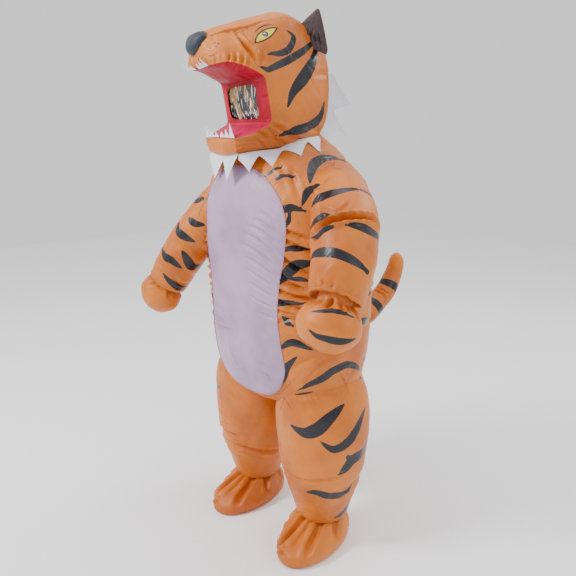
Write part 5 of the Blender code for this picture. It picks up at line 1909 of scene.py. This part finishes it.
class FilmForm(WallForm):
    """Clear film behind the window: v is the share of the window's size."""

    gap = 0.0042

    def place(self, u: Array, v: Array) -> tuple[Array, Array]:
        """Share across and section of each point."""
        _, half, reach, middle = self.window(u)
        return WINDOW_SHIFT + half * v, middle + reach * v


MOUTH = MouthForm()


# Gap below points that lie on the shoulder, and how much further a slanting lift has to go
LYING_GAP, LYING_SLOPE = 0.003, 1.2
FRINGE_DETAIL = 6


@dataclass
class FringeForm(Form):
    """Pointed strip of cloth: u counts the points of its zigzag edge, v runs from base to tip.

    Attributes:
        base: Points where it is sewn on.
        tips: Tip or valley above each of them.
        facing: Direction that its face looks in.
        curl: How far the tips curl that way.
        over: Volume that the strip lies on.
        lift: Direction in which it is held off that volume.
    """

    base: Array
    tips: Array
    facing: Array
    curl: float = 0.004
    over: Volume | None = None
    lift: Array | None = None
    steps = (0.02, 0.02)

    def point(self, u: Array, v: Array) -> Array:
        """Points of the strip."""
        u = u + 0 * v
        k = np.clip(np.floor(u), 0, len(self.base) - 2).astype(int)
        t = (u - k)[..., None]
        held = np.clip(t, 0, 1)
        rise = np.where(k[..., None] % 2 == 0, held**1.35, 1 - (1 - held) ** 1.35)
        foot = self.base[k] * (1 - t) + self.base[k + 1] * t
        lean = (self.tips - self.base)[k] * (1 - rise) + (self.tips - self.base)[k + 1] * rise
        depth = (v + 0 * u)[..., None]
        wavy = 0.35 * self.curl * np.sin(u * math.pi * 0.83 + 0.7)[..., None] * depth
        place = foot + lean * depth + self.facing * (self.curl * depth**2 + wavy)
        if self.over is None:
            return place
        sunk = np.clip(LYING_GAP - self.over.distance(place), 0, None)
        return place + self.lift * (LYING_SLOPE * sunk)[..., None]


def add_fringe(name: str, form: FringeForm, clear_of: tuple) -> None:
    """White points or teeth.

    Args:
        name: Piece's name.
        form: Its zigzag strip.
        clear_of: Volumes that hide its root.
    """
    last = len(form.base) - 1
    columns = last * FRINGE_DETAIL + 1
    Panel(
        name, form, (0.0, float(last)), WHOLE, WHITE, (), 0.004,
        columns=columns, clear_of=clear_of, flat=True,
    ).build()


NOSE_MIDDLE = (0.358, 0.0, 1.797)
# Ahead, left and height of half the rim, from its top down
NOSE_RIM = (
    (0.312, 0.000, 1.834),
    (0.316, 0.040, 1.829),
    (0.322, 0.062, 1.808),
    (0.328, 0.055, 1.784),
    (0.334, 0.026, 1.764),
    (0.336, 0.000, 1.758),
)


class NoseForm(Form):
    """Dome of the nose: u is the turn in degrees round its rim, v from 1 at the rim inwards."""

    steps = (0.5, 0.002)
    facing = HEAD_FORWARD

    def rim(self, u: Array) -> Array:
        """Points of the five-sided rim."""
        rows = list(NOSE_RIM) + [(a, -l, h) for a, l, h in NOSE_RIM[-2:0:-1]]
        rows.append(rows[0])
        at = (np.asarray(u) % 360) / 360 * (len(rows) - 1)
        return head_point(*curves(numbered(rows), at))

    def point(self, u: Array, v: Array) -> Array:
        """Points of the dome."""
        v = v + 0 * u
        rim = self.rim(u + 0 * v)
        centre = self.rim(np.arange(0, 360, 36.0)).mean(0)
        top = head_point(*(np.array(value) for value in NOSE_MIDDLE)) - centre
        lift = np.sqrt(np.clip(1 - v**3.2, 0, 1))[..., None]
        return centre + (rim - centre) * v[..., None] + top * lift


EAR_INNER = (0.030, 0.088, 1.836)
EAR_OUTER = (-0.058, 0.168, 1.782)
EAR_TIP = (-0.032, 0.150, 1.909)


@dataclass
class EarForm(Form):
    """One face of an ear: u from -1 to 1 across, v the rise from below its root to its tip.

    Attributes:
        sign: 1 for the left ear.
        side: 1 for the front face.
        depth: How far it puffs out.
    """

    sign: int
    side: int
    depth: float
    steps = (0.01, 0.005)

    def axes(self) -> tuple[Array, Array, Array, Array]:
        """Base, half width, rise and facing direction."""
        first, second, tip = (
            head_point(a, self.sign * l, h).reshape(3) for a, l, h in (EAR_INNER, EAR_OUTER, EAR_TIP)
        )
        base, half = (first + second) / 2, (second - first) / 2
        up = tip - base
        face = unit(np.cross(half, up))
        face = face if face @ HEAD_FORWARD > 0 else -face
        return base, half, up, face * self.side

    def point(self, u: Array, v: Array) -> Array:
        """Points of the face."""
        base, half, up, face = self.axes()
        width = np.clip(1 - v, 0, 1) ** 0.85
        puff = self.depth * (1 - u**2) * np.clip(1 - v**2, 0, 1) + 0.0006
        return base + half * (u * width)[..., None] + up * (v + 0 * u)[..., None] + face * puff[..., None]

    def middle(self, u: Array, v: Array) -> Array:
        """Points inside the ear."""
        return self.point(u, v) - self.axes()[3] * 0.05


@dataclass
class Head:
    """Head as a bent tube: outer strip, two sides, mouth lining, muzzle front and chin."""

    body: Volume
    side_stripes: tuple = draw_stripes(
        (0.023, 0.1, 0, (0.78, 4.11), (0.73, 4.8), (0.54, 4.98), (0.38, 4.4), (0.33, 3.3)),
        (
            0.025, 0.7, 0,
            (0.99, 5.66), (0.86, 5.72), (0.67, 5.7), (0.44, 5.54), (0.23, 5.05), (0.1, 4.05), (0.12, 2.6),
        ),
        (0.044, 0.6, 0, (0.93, 5.8), (0.77, 6.34), (0.62, 6.74), (0.49, 7.14), (0.34, 7.66), (0.23, 8.66)),
        (0.034, 0, 0, (0.89, 8.34), (0.85, 9.19), (0.68, 10.04), (0.46, 11.02), (0.42, 12.6)),
    )
    side_creases: tuple = draw_creases(
        (0.011, 0.016, (0.95, 1.68), (0.51, 2.03), (0.2, 2.6)),
        (0.006, 0.012, (0.9, 1.9), (0.66, 2.22), (0.46, 2.46)),
        (0.004, 0.012, (0.97, 1.35), (0.8, 1.52), (0.62, 1.66)),
        (0.005, 0.01, (0.03, 1.05), (0.14, 1.12), (0.26, 1.14)),
        (0.005, 0.01, (0.03, 1.38), (0.16, 1.44), (0.3, 1.46)),
        (0.005, 0.011, (0.02, 1.75), (0.15, 1.8), (0.28, 1.86)),
        (0.004, 0.01, (0.02, 2.15), (0.12, 2.16), (0.22, 2.2)),
        (0.004, 0.014, (0.42, 3.0), (0.28, 2.96), (0.12, 3.04)),
        (0.003, 0.018, (0.98, 7.3), (0.86, 7.2), (0.7, 7.1)),
        (0.004, 0.008, (0.98, 0.3), (0.95, 1.3), (0.92, 2.18), (0.97, 3.1)),
        (0.005, 0.014, (0.04, 11.2), (0.22, 11.3), (0.5, 11.8)),
        (0.004, 0.013, (0.05, 12.2), (0.3, 12.4), (0.6, 12.7)),
        (0.005, 0.014, (0.97, 11.5), (0.72, 11.7), (0.5, 11.9)),
        (0.005, 0.013, (0.97, 12.5), (0.7, 12.6), (0.5, 12.7)),
        (0.004, 0.013, (0.97, 13.4), (0.62, 13.5), (0.3, 13.6)),
        (0.005, 0.014, (0.02, 13.2), (0.32, 13.0), (0.6, 12.9)),
        (0.004, 0.016, (0.97, 10.2), (0.78, 10.3), (0.62, 10.5)),
    )

    def rings(self) -> Array:
        """Closed section rings of the whole head."""
        v = np.linspace(0, LAST, 64)[:, None]
        rise, across = np.linspace(0, 1, 12)[None, :], np.linspace(-1, 1, 14)[None, :]
        left, right = (SideForm(sign).point(rise + 0 * v, v + 0 * rise) for sign in (1, -1))
        top = OuterForm().point(-across + 0 * v, v + 0 * across)
        bottom = MouthForm().point(across + 0 * v, v + 0 * across)
        return np.concatenate([left[:, :-1], top[:, :-1], right[:, :0:-1], bottom[:, :-1]], 1)

    def build(self) -> None:
        """Builds the head's panels."""
        strips = (
            ("head_top", 0.0, TOP_END, 51),
            ("head_nape", TOP_END, NAPE_END, 53),
            ("underjaw", NAPE_END, LAST, 55),
        )
        sewn_to = {"clear_of": (self.body,)}
        for name, first, last, seed in strips:
            along = (first, last)
            Panel(name, OuterForm(), ACROSS, along, ORANGE, SEWN, 0.005, seed=seed, **sewn_to).build()
        for word, sign in SIDES:
            Panel(
                "head_side_" + word, SideForm(sign), WHOLE, (0.0, LAST), FACE, SEWN, 0.0038,
                self.side_stripes, self.side_creases, pucker=0.0026,
                drawings=(EYE_PLACE, DOTS_PLACE), seed=57, **sewn_to,
            ).build()
        lining = (
            ("palate", 0.0, PALATE_END, RED, 0.0028, 61),
            ("mouth_floor", THROAT_END, LAST, ROSE, 0.0030, 63),
        )
        for name, first, last, finish, pucker, seed in lining:
            Panel(name, MOUTH, ACROSS, (first, last), finish, SEWN, 0.005, pucker=pucker, seed=seed).build()
        Panel(
            "throat_wall", ThroatForm(), TURN, WHOLE, RED, (Edge.HIGH,), 0.005,
            around=True, pucker=0.0012, seed=65,
        ).build()
        Panel(
            "window", FilmForm(), TURN, (1.10, 0.04), FILM, (), 0.006,
            around=True, closed=True, flat=True,
        ).build()
        front, chin = CapForm(0, 0.014, 0.2), CapForm(LAST, 0.012, 0.0)
        Panel("muzzle_front", front, ACROSS, WHOLE, SNOUT, spacing=0.003, drawings=(FRONT_PLACE,)).build()
        Panel("chin", chin, ACROSS, WHOLE, ORANGE, spacing=0.004, seed=67).build()


@dataclass
class Details:
    """What stands on the head: white points, teeth, nose and ears.

    Attributes:
        head: Volume of the head.
        body: Volume of the torso.
    """

    head: Volume
    body: Volume
    root: float = 0.003
    ruff_drop: tuple = (0.022, 0.088, 0.022, 0.088, 0.022)
    cheek_drop: tuple = (0.016, 0.070, 0.016, 0.070, 0.016, 0.070, 0.016, 0.070, 0.016)
    mane_drop: tuple = (0.024, 0.090, 0.024, 0.090, 0.024)
    upper_rise: tuple = (0.003, 0.018, 0.005, 0.022, 0.006, 0.028, 0.003)
    lower_rise: tuple = (0.004, 0.018, 0.004, 0.026, 0.005, 0.046, 0.006)
    ear_creases: tuple = draw_creases(
        (0.004, 0.008, (-0.55, 0.02), (-0.45, 0.16), (-0.3, 0.3)),
        (0.005, 0.009, (-0.1, 0.0), (-0.06, 0.16), (0.0, 0.32)),
        (0.004, 0.008, (0.3, 0.02), (0.26, 0.14), (0.2, 0.28)),
        (0.004, 0.008, (0.62, 0.04), (0.52, 0.18), (0.42, 0.34)),
    )

    def build(self) -> None:
        """Builds every one of them."""
        self.add_points()
        self.add_teeth()
        Panel(
            "nose", NoseForm(), TURN, (1.0, 0.05), NOSE, (Edge.LOW,), 0.0034,
            around=True, closed=True, clear_of=(self.head,), pucker=0.0010, bulge=0.002,
        ).build()
        for word, sign in SIDES:
            for part, side, depth, finish in (("front", 1, 0.006, EAR), ("back", -1, 0.026, ORANGE)):
                seams = (*SIDE_SEAMS, Edge.HIGH)
                Panel(
                    f"ear_{word}_{part}", EarForm(sign, side, depth), ACROSS, (-0.16, 0.97),
                    finish, seams, 0.0034, creases=self.ear_creases if side > 0 else (),
                    clear_of=(self.head,), pucker=0.0016, bulge=0.001, seed=71,
                ).build()

    def add_points(self) -> None:
        """White points under the chin, along both cheeks and up the back of the head."""
        hidden = (self.head, self.body)
        across = np.linspace(-0.98, 0.98, len(self.ruff_drop))
        base = OuterForm().point(across, 0 * across + LAST - 0.12) + UP * self.root
        tips = base + (HEAD_FORWARD * 0.12 - UP) * np.array(self.ruff_drop)[:, None]
        add_fringe("ruff_front", FringeForm(base, tips, HEAD_FORWARD, 0.007), hidden)
        for word, sign in SIDES:
            form, left = SideForm(sign), HEAD_LEFT * sign
            v = np.linspace(LAST - 0.15, 10.6, len(self.cheek_drop))
            base = form.point(0 * v + 1, v) - UP * 0.005
            share = np.linspace(0, 1, len(base))[:, None]
            lean = left * (0.35 + 0.55 * share) - UP * (0.90 - 0.55 * share)
            lean = lean + HEAD_FORWARD * 0.2 * (1 - share)
            tips = base + lean * np.array(self.cheek_drop)[:, None]
            lying = FringeForm(base, tips, UP, -0.004, self.body, left * 0.5 + UP * 0.85)
            add_fringe("ruff_" + word, lying, hidden)
            v = np.linspace(10.4, 7.2, len(self.mane_drop))
            base = form.point(0 * v + 1, v) + HEAD_FORWARD * self.root
            lean = -HEAD_FORWARD * 0.78 + left * 0.35 - UP * 0.5
            tips = base + lean * np.array(self.mane_drop)[:, None]
            add_fringe("mane_" + word, FringeForm(base, tips, left, 0.006), hidden)

    def add_teeth(self) -> None:
        """Upper teeth that turn out over the lip, and lower ones that stand on the jaw."""
        for word, sign in SIDES:
            left = HEAD_LEFT * sign
            u = np.linspace(0.12, 0.97, len(self.upper_rise)) * sign
            base = MOUTH.point(u, 0 * u) + HEAD_FORWARD * 0.0006
            lean = left * 0.25 + UP * 0.75 + HEAD_FORWARD * 0.90
            tips = base + lean * np.array(self.upper_rise)[:, None]
            add_fringe("teeth_upper_" + word, FringeForm(base, tips, HEAD_FORWARD, 0.001), (self.head,))
            u = np.linspace(0.04, 0.96, len(self.lower_rise)) * sign
            base = MOUTH.point(u, 0 * u + LAST - 0.05) + UP * 0.0005
            tips = base + (UP + HEAD_FORWARD * 0.15) * np.array(self.lower_rise)[:, None]
            add_fringe("teeth_lower_" + word, FringeForm(base, tips, HEAD_FORWARD, 0.001), (self.head,))


# Stage, and the whole costume


@dataclass
class Studio:
    """Plain pale floor, soft light and the photograph's camera.

    Attributes:
        lights: Rows of name, place, aim, side of the square light in metres, and watts.
    """

    floor_size: float = 14.0
    camera_place: tuple = (1.739, -1.459, 0.125)
    camera_turn: float = 50.0
    camera_dip: float = 14.2
    lens: float = 38.75
    lights: tuple = (
        ("key", (-1.2, -3.2, 2.3), (0.0, 0.0, -0.2), 1.2, 190.0),
        ("fill", (3.4, 0.6, 1.4), (0.0, 0.0, -0.3), 1.8, 20.0),
        ("rim", (1.0, 3.2, 2.2), (0.0, 0.0, -0.2), 1.6, 60.0),
        ("top", (0.0, 0.2, 3.4), (0.0, 0.0, 0.0), 2.4, 50.0),
    )

    def build(self) -> None:
        """Builds the stage."""
        half = self.floor_size / 2
        corners = [(-half, -half), (half, -half), (half, half), (-half, half)]
        mesh = bpy.data.meshes.new("floor")
        mesh.from_pydata([(x, y, -HOLD_HEIGHT) for x, y in corners], [], [(0, 1, 2, 3)])
        floor = link_new("floor", mesh)
        paint = bpy.data.materials.new("floor_paint")
        paint.use_nodes = True
        shader = paint.node_tree.nodes["Principled BSDF"]
        shader.inputs["Base Color"].default_value = (0.95, 0.95, 0.96, 1)
        shader.inputs["Roughness"].default_value = 0.85
        mesh.materials.append(paint)
        for name, place, aim, size, power in self.lights:
            light = bpy.data.lights.new(name, "AREA")
            light.size = size
            light.energy = power
            obj = link_new(name, light)
            obj.location = place
            obj.rotation_euler = (Vector(aim) - Vector(place)).to_track_quat("-Z", "Y").to_euler()
        world = bpy.data.worlds.new("studio")
        world.use_nodes = True
        world.node_tree.nodes["Background"].inputs["Color"].default_value = (1.0, 1.0, 1.0, 1)
        world.node_tree.nodes["Background"].inputs["Strength"].default_value = 1.0
        bpy.context.scene.world = world
        self.add_camera()

    def add_camera(self) -> None:
        """Camera at the photograph's angle."""
        camera = bpy.data.cameras.new("camera")
        camera.sensor_width = 36.0
        camera.lens = self.lens
        obj = link_new("camera", camera)
        obj.location = self.camera_place
        obj.rotation_euler = (math.radians(90 - self.camera_dip), 0, math.radians(self.camera_turn))
        bpy.context.scene.camera = obj


@dataclass(frozen=True)
class Costume:
    """The whole costume and its printed stripes."""

    left_arm_stripes: tuple = draw_stripes(
        (0.04, 0.3, 0, (95, 0.165), (72, 0.125), (50, 0.145), (19, 0.226)),
        (0.03, 0, 0, (138, 0.185), (100, 0.253), (72, 0.325)),
        (0.036, 0, 0.5, (110, 0.396), (90, 0.392), (75, 0.419), (53, 0.434), (-14, 0.4)),
        (0.034, 0.8, 0, (128, 0.55), (92, 0.56), (66, 0.584)),
        (0.013, 0, 0, (124, 0.668), (98, 0.664), (74, 0.652), (55, 0.645)),
        (0.03, 0.2, 0.8, (44, 0.64), (22, 0.64), (0, 0.638), (-30, 0.626), (-62, 0.604)),
        (0.032, 0.3, 0.5, (132, 0.785), (104, 0.765), (71, 0.769), (19, 0.794), (-10, 0.82)),
        (0.034, 0, 0, (-60, 0.325), (-90, 0.35), (-130, 0.335)),
        (0.032, 0, 0, (-70, 0.5), (-110, 0.54), (-150, 0.51)),
        (0.032, 0, 0, (-55, 0.865), (-95, 0.905), (-135, 0.885)),
        (0.024, 0, 0, (-160, 0.685), (-185, 0.715), (-208, 0.695)),
    )
    right_arm_stripes: tuple = draw_stripes(
        (0.034, 0, 0, (-55, 0.2), (-80, 0.235), (-112, 0.215)),
        (0.03, 0.6, 0, (-62, 0.45), (-74, 0.425), (-92, 0.38)),
        (0.028, 0.3, 0, (-90, 0.535), (-112, 0.53), (-140, 0.49)),
        (0.034, 0.5, 0, (-68, 0.61), (-90, 0.64), (-117, 0.63), (-148, 0.61)),
        (0.032, 0.5, 0, (-68, 0.8), (-95, 0.815), (-123, 0.8), (-160, 0.815)),
        (0.038, 0, 0, (-128, 0.705), (-155, 0.74), (-180, 0.775), (-218, 0.72)),
        (0.03, 0, 0.4, (-112, 0.905), (-150, 0.94), (-184, 0.965), (-220, 0.96)),
        (0.034, 0, 0, (10, 0.3), (38, 0.335), (70, 0.31)),
        (0.034, 0, 0, (-12, 0.52), (30, 0.555), (66, 0.53)),
        (0.03, 0, 0, (0, 0.72), (34, 0.755), (72, 0.73)),
    )
    left_leg_stripes: tuple = draw_stripes(
        (0.04, 0, 0.4, (72, 0.135), (50, 0.12), (32, 0.09), (-6, 0.06), (-32, 0.135)),
        (0.05, 0, 0, (84, 0.315), (62, 0.35), (48, 0.33), (30, 0.265), (10, 0.215)),
        (0.038, 0, 0, (47, 0.385), (28, 0.44), (10, 0.41), (-8, 0.34), (-24, 0.265)),
        (0.046, 0.1, 0.2, (23, 0.615), (12, 0.58), (2, 0.535), (-18, 0.515), (-42, 0.46)),
        (0.02, 0, 0.9, (13, 0.495), (8, 0.515), (0, 0.535)),
        (0.032, 0.1, 0, (68, 0.748), (52, 0.738), (33, 0.758), (8, 0.775), (-24, 0.705)),
        (0.028, 0.4, 0, (14, 0.97), (-8, 0.955), (-36, 0.895)),
        (0.036, 0, 0, (-62, 0.22), (-92, 0.26), (-128, 0.24)),
        (0.04, 0, 0, (-70, 0.38), (-104, 0.42), (-140, 0.39)),
        (0.036, 0, 0, (-64, 0.62), (-96, 0.66), (-132, 0.63)),
        (0.028, 0, 0, (-80, 0.8), (-104, 0.83), (-134, 0.81)),
    )
    tail_stripes: tuple = draw_stripes(
        (0.036, 1.0, 1.0, (-180, 0.735), (-90, 0.735), (0, 0.745), (90, 0.735), (180, 0.735)),
        (0.038, 1.0, 1.0, (-180, 0.535), (-90, 0.525), (0, 0.53), (90, 0.535), (180, 0.535)),
        (0.036, 1.0, 1.0, (-180, 0.34), (-90, 0.33), (0, 0.335), (90, 0.34), (180, 0.34)),
    )
    left_mitt_stripes: tuple = draw_stripes(
        (0.016, 0, 0, (126, 0.455), (101, 0.381), (79, 0.323), (56, 0.318), (30, 0.355)),
        (0.024, 0, 0, (122, 0.69), (94, 0.79), (62, 0.77), (40, 0.715), (20, 0.62)),
    )
    left_arm_creases: tuple = draw_creases(
        (0.022, 0.016, (128, 0.64), (100, 0.624), (70, 0.614), (35, 0.598), (-9, 0.564), (-30, 0.558)),
        (0.009, 0.014, (138, 0.7), (112, 0.68), (88, 0.662)),
        (0.006, 0.013, (94, 0.476), (71, 0.549), (45, 0.6)),
        (0.005, 0.012, (60, 0.575), (45, 0.54), (38, 0.51)),
        (0.005, 0.014, (80, 0.35), (60, 0.315), (45, 0.288)),
        (0.005, 0.012, (30, 0.272), (42, 0.245), (58, 0.233)),
        (0.005, 0.016, (150, 0.325), (120, 0.293), (105, 0.255)),
        (0.005, 0.011, (78, 0.915), (74, 0.95), (70, 0.992)),
        (0.004, 0.01, (55, 0.925), (50, 0.96), (52, 0.992)),
        (0.005, 0.012, (100, 0.905), (98, 0.95), (104, 0.985)),
        (0.004, 0.012, (20, 0.92), (16, 0.955), (20, 0.988)),
        (0.006, 0.018, (-60, 0.672), (-100, 0.642), (-140, 0.662)),
    )
    right_arm_creases: tuple = draw_creases(
        (0.004, 0.014, (-70, 0.9), (-90, 0.88), (-120, 0.885)),
        (0.005, 0.014, (-150, 0.9), (-175, 0.925), (-205, 0.93)),
        (0.004, 0.016, (-80, 0.29), (-110, 0.27), (-140, 0.28)),
        (0.006, 0.018, (-20, 0.6), (30, 0.58), (70, 0.595)),
    )
    left_leg_creases: tuple = draw_creases(
        (0.005, 0.014, (126, 0.7), (95, 0.665), (62, 0.655), (30, 0.625), (12, 0.605)),
        (0.004, 0.018, (118, 0.24), (122, 0.38), (108, 0.52), (90, 0.69)),
        (0.004, 0.016, (66, 0.15), (40, 0.15), (18, 0.17)),
        (0.004, 0.014, (10, 0.1), (4, 0.14), (8, 0.19)),
        (0.004, 0.012, (-4, 0.03), (-8, 0.06), (-2, 0.1)),
        (0.003, 0.014, (20, 0.78), (-8, 0.8), (-40, 0.79)),
        (0.006, 0.018, (-70, 0.68), (-110, 0.66), (-150, 0.69)),
    )
    right_leg_creases: tuple = draw_creases(
        (0.008, 0.016, (-50, 0.655), (-80, 0.64), (-115, 0.65)),
        (0.005, 0.014, (-66, 0.6), (-90, 0.575), (-112, 0.58)),
        (0.009, 0.018, (-90, 0.71), (-140, 0.745), (-196, 0.8)),
        (0.004, 0.014, (-60, 0.78), (-90, 0.77), (-130, 0.785)),
        (0.004, 0.016, (-60, 0.48), (-90, 0.5), (-115, 0.53)),
    )
    mitt_creases: tuple = draw_creases(
        (0.01, 0.014, (95, 0.12), (92, 0.2), (98, 0.3)),
        (0.006, 0.012, (60, 0.14), (64, 0.22), (60, 0.3)),
        (0.006, 0.012, (128, 0.14), (122, 0.22), (128, 0.34)),
        (0.006, 0.012, (20, 0.15), (26, 0.26), (24, 0.38)),
        (0.006, 0.012, (170, 0.15), (166, 0.26), (170, 0.4)),
        (0.006, 0.014, (230, 0.15), (236, 0.28), (230, 0.4)),
        (0.006, 0.014, (300, 0.15), (296, 0.28), (302, 0.4)),
        (0.003, 0.012, (70, 0.62), (90, 0.66), (112, 0.64)),
    )
    tail_creases: tuple = draw_creases(
        (0.005, 0.012, (-20, 0.61), (-60, 0.63), (-100, 0.62)),
        (0.004, 0.01, (-10, 0.665), (-50, 0.655), (-95, 0.665)),
        (0.004, 0.012, (0, 0.43), (-50, 0.42), (-90, 0.43)),
        (0.004, 0.012, (160, 0.64), (200, 0.62), (240, 0.64)),
        (0.004, 0.012, (170, 0.45), (210, 0.43), (250, 0.45)),
    )
    left_shoe_creases: tuple = draw_creases(
        (0.015, 0.022, (-16, 0.118), (-24, 0.085), (-34, 0.036)),
        (0.011, 0.024, (28, 0.116), (32, 0.085), (36, 0.044)),
        (0.008, 0.02, (66, 0.11), (80, 0.078), (92, 0.044)),
        (0.01, 0.022, (-66, 0.112), (-72, 0.08), (-84, 0.04)),
        (0.006, 0.013, (-34, 0.04), (-16, 0.047), (0, 0.04)),
        (0.005, 0.013, (8, 0.108), (4, 0.09), (0, 0.066)),
        (0.007, 0.018, (130, 0.108), (124, 0.08), (134, 0.046)),
        (0.007, 0.018, (-126, 0.108), (-130, 0.08), (-122, 0.046)),
    )

    def build(self) -> None:
        """Builds every piece, and logs each."""
        torso = TorsoForm()
        angles = np.linspace(0, 360, 96, endpoint=False)[None, :]
        heights = np.linspace(TORSO[0][0], TORSO[-1][0], 60)[:, None]
        body = Volume(torso.point(*np.broadcast_arrays(angles, heights)))
        limbs = (
            Limb("sleeve_left", TubeForm(LEFT_ARM, (1, 0, 0.3), (), CUFF_ARCH), 0.056, 0.018, body,
                 self.left_arm_stripes, self.left_arm_creases, 81),
            Limb("sleeve_right", TubeForm(RIGHT_ARM, (-1, 0, 0.3), RIGHT_ARM_FOLDS), 0.054, 0.018, body,
                 self.right_arm_stripes, self.right_arm_creases, 83),
            Limb("leg_left", TubeForm(LEFT_LEG, (1, 0, 0), LEFT_LEG_FOLDS), 0.066, 0.016, body,
                 self.left_leg_stripes, self.left_leg_creases, 85),
            Limb("leg_right", TubeForm(RIGHT_LEG, (-1, 0, 0), RIGHT_LEG_FOLDS), 0.066, 0.016, body,
                 mirrored(self.left_leg_stripes), self.right_leg_creases, 87),
        )
        head = Head(body)
        head_volume = Volume(head.rings())
        tail = TubeForm(TAIL, (1, 0, 0))
        volumes = [limb.volume() for limb in limbs]
        around = (*volumes, Volume(tube_rings(tail, 0.5)), head_volume)
        Torso(around, tuple(volumes[2:])).build()
        for limb in limbs:
            limb.build()
        Pouch("tail", tail, self.tail_stripes, self.tail_creases, body, seed=91).build()
        left = mitt_form(limbs[0].form, LEFT_MITT, (0.8, 0.6, 0.0))
        right = mitt_form(limbs[1].form, RIGHT_MITT, (-0.7, -0.6, 0.0))
        Pouch("mitt_left", left, self.left_mitt_stripes, self.mitt_creases, seed=93).build()
        Pouch("mitt_right", right, (), self.mitt_creases, seed=95).build()
        for word, sign, turned in (("left", 1, 15.0), ("right", -1, 10.0)):
            Foot(word, ShoeForm(0.202 * sign, 0.004, turned), self.left_shoe_creases).build()
        head.build()
        Details(head_volume, body).build()


def main() -> None:
    """Builds the costume and its stage."""
    logging.basicConfig(level=logging.INFO, format="%(name)s %(message)s")
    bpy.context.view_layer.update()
    Costume().build()
    Studio().build()


if __name__ == "__main__":
    main()
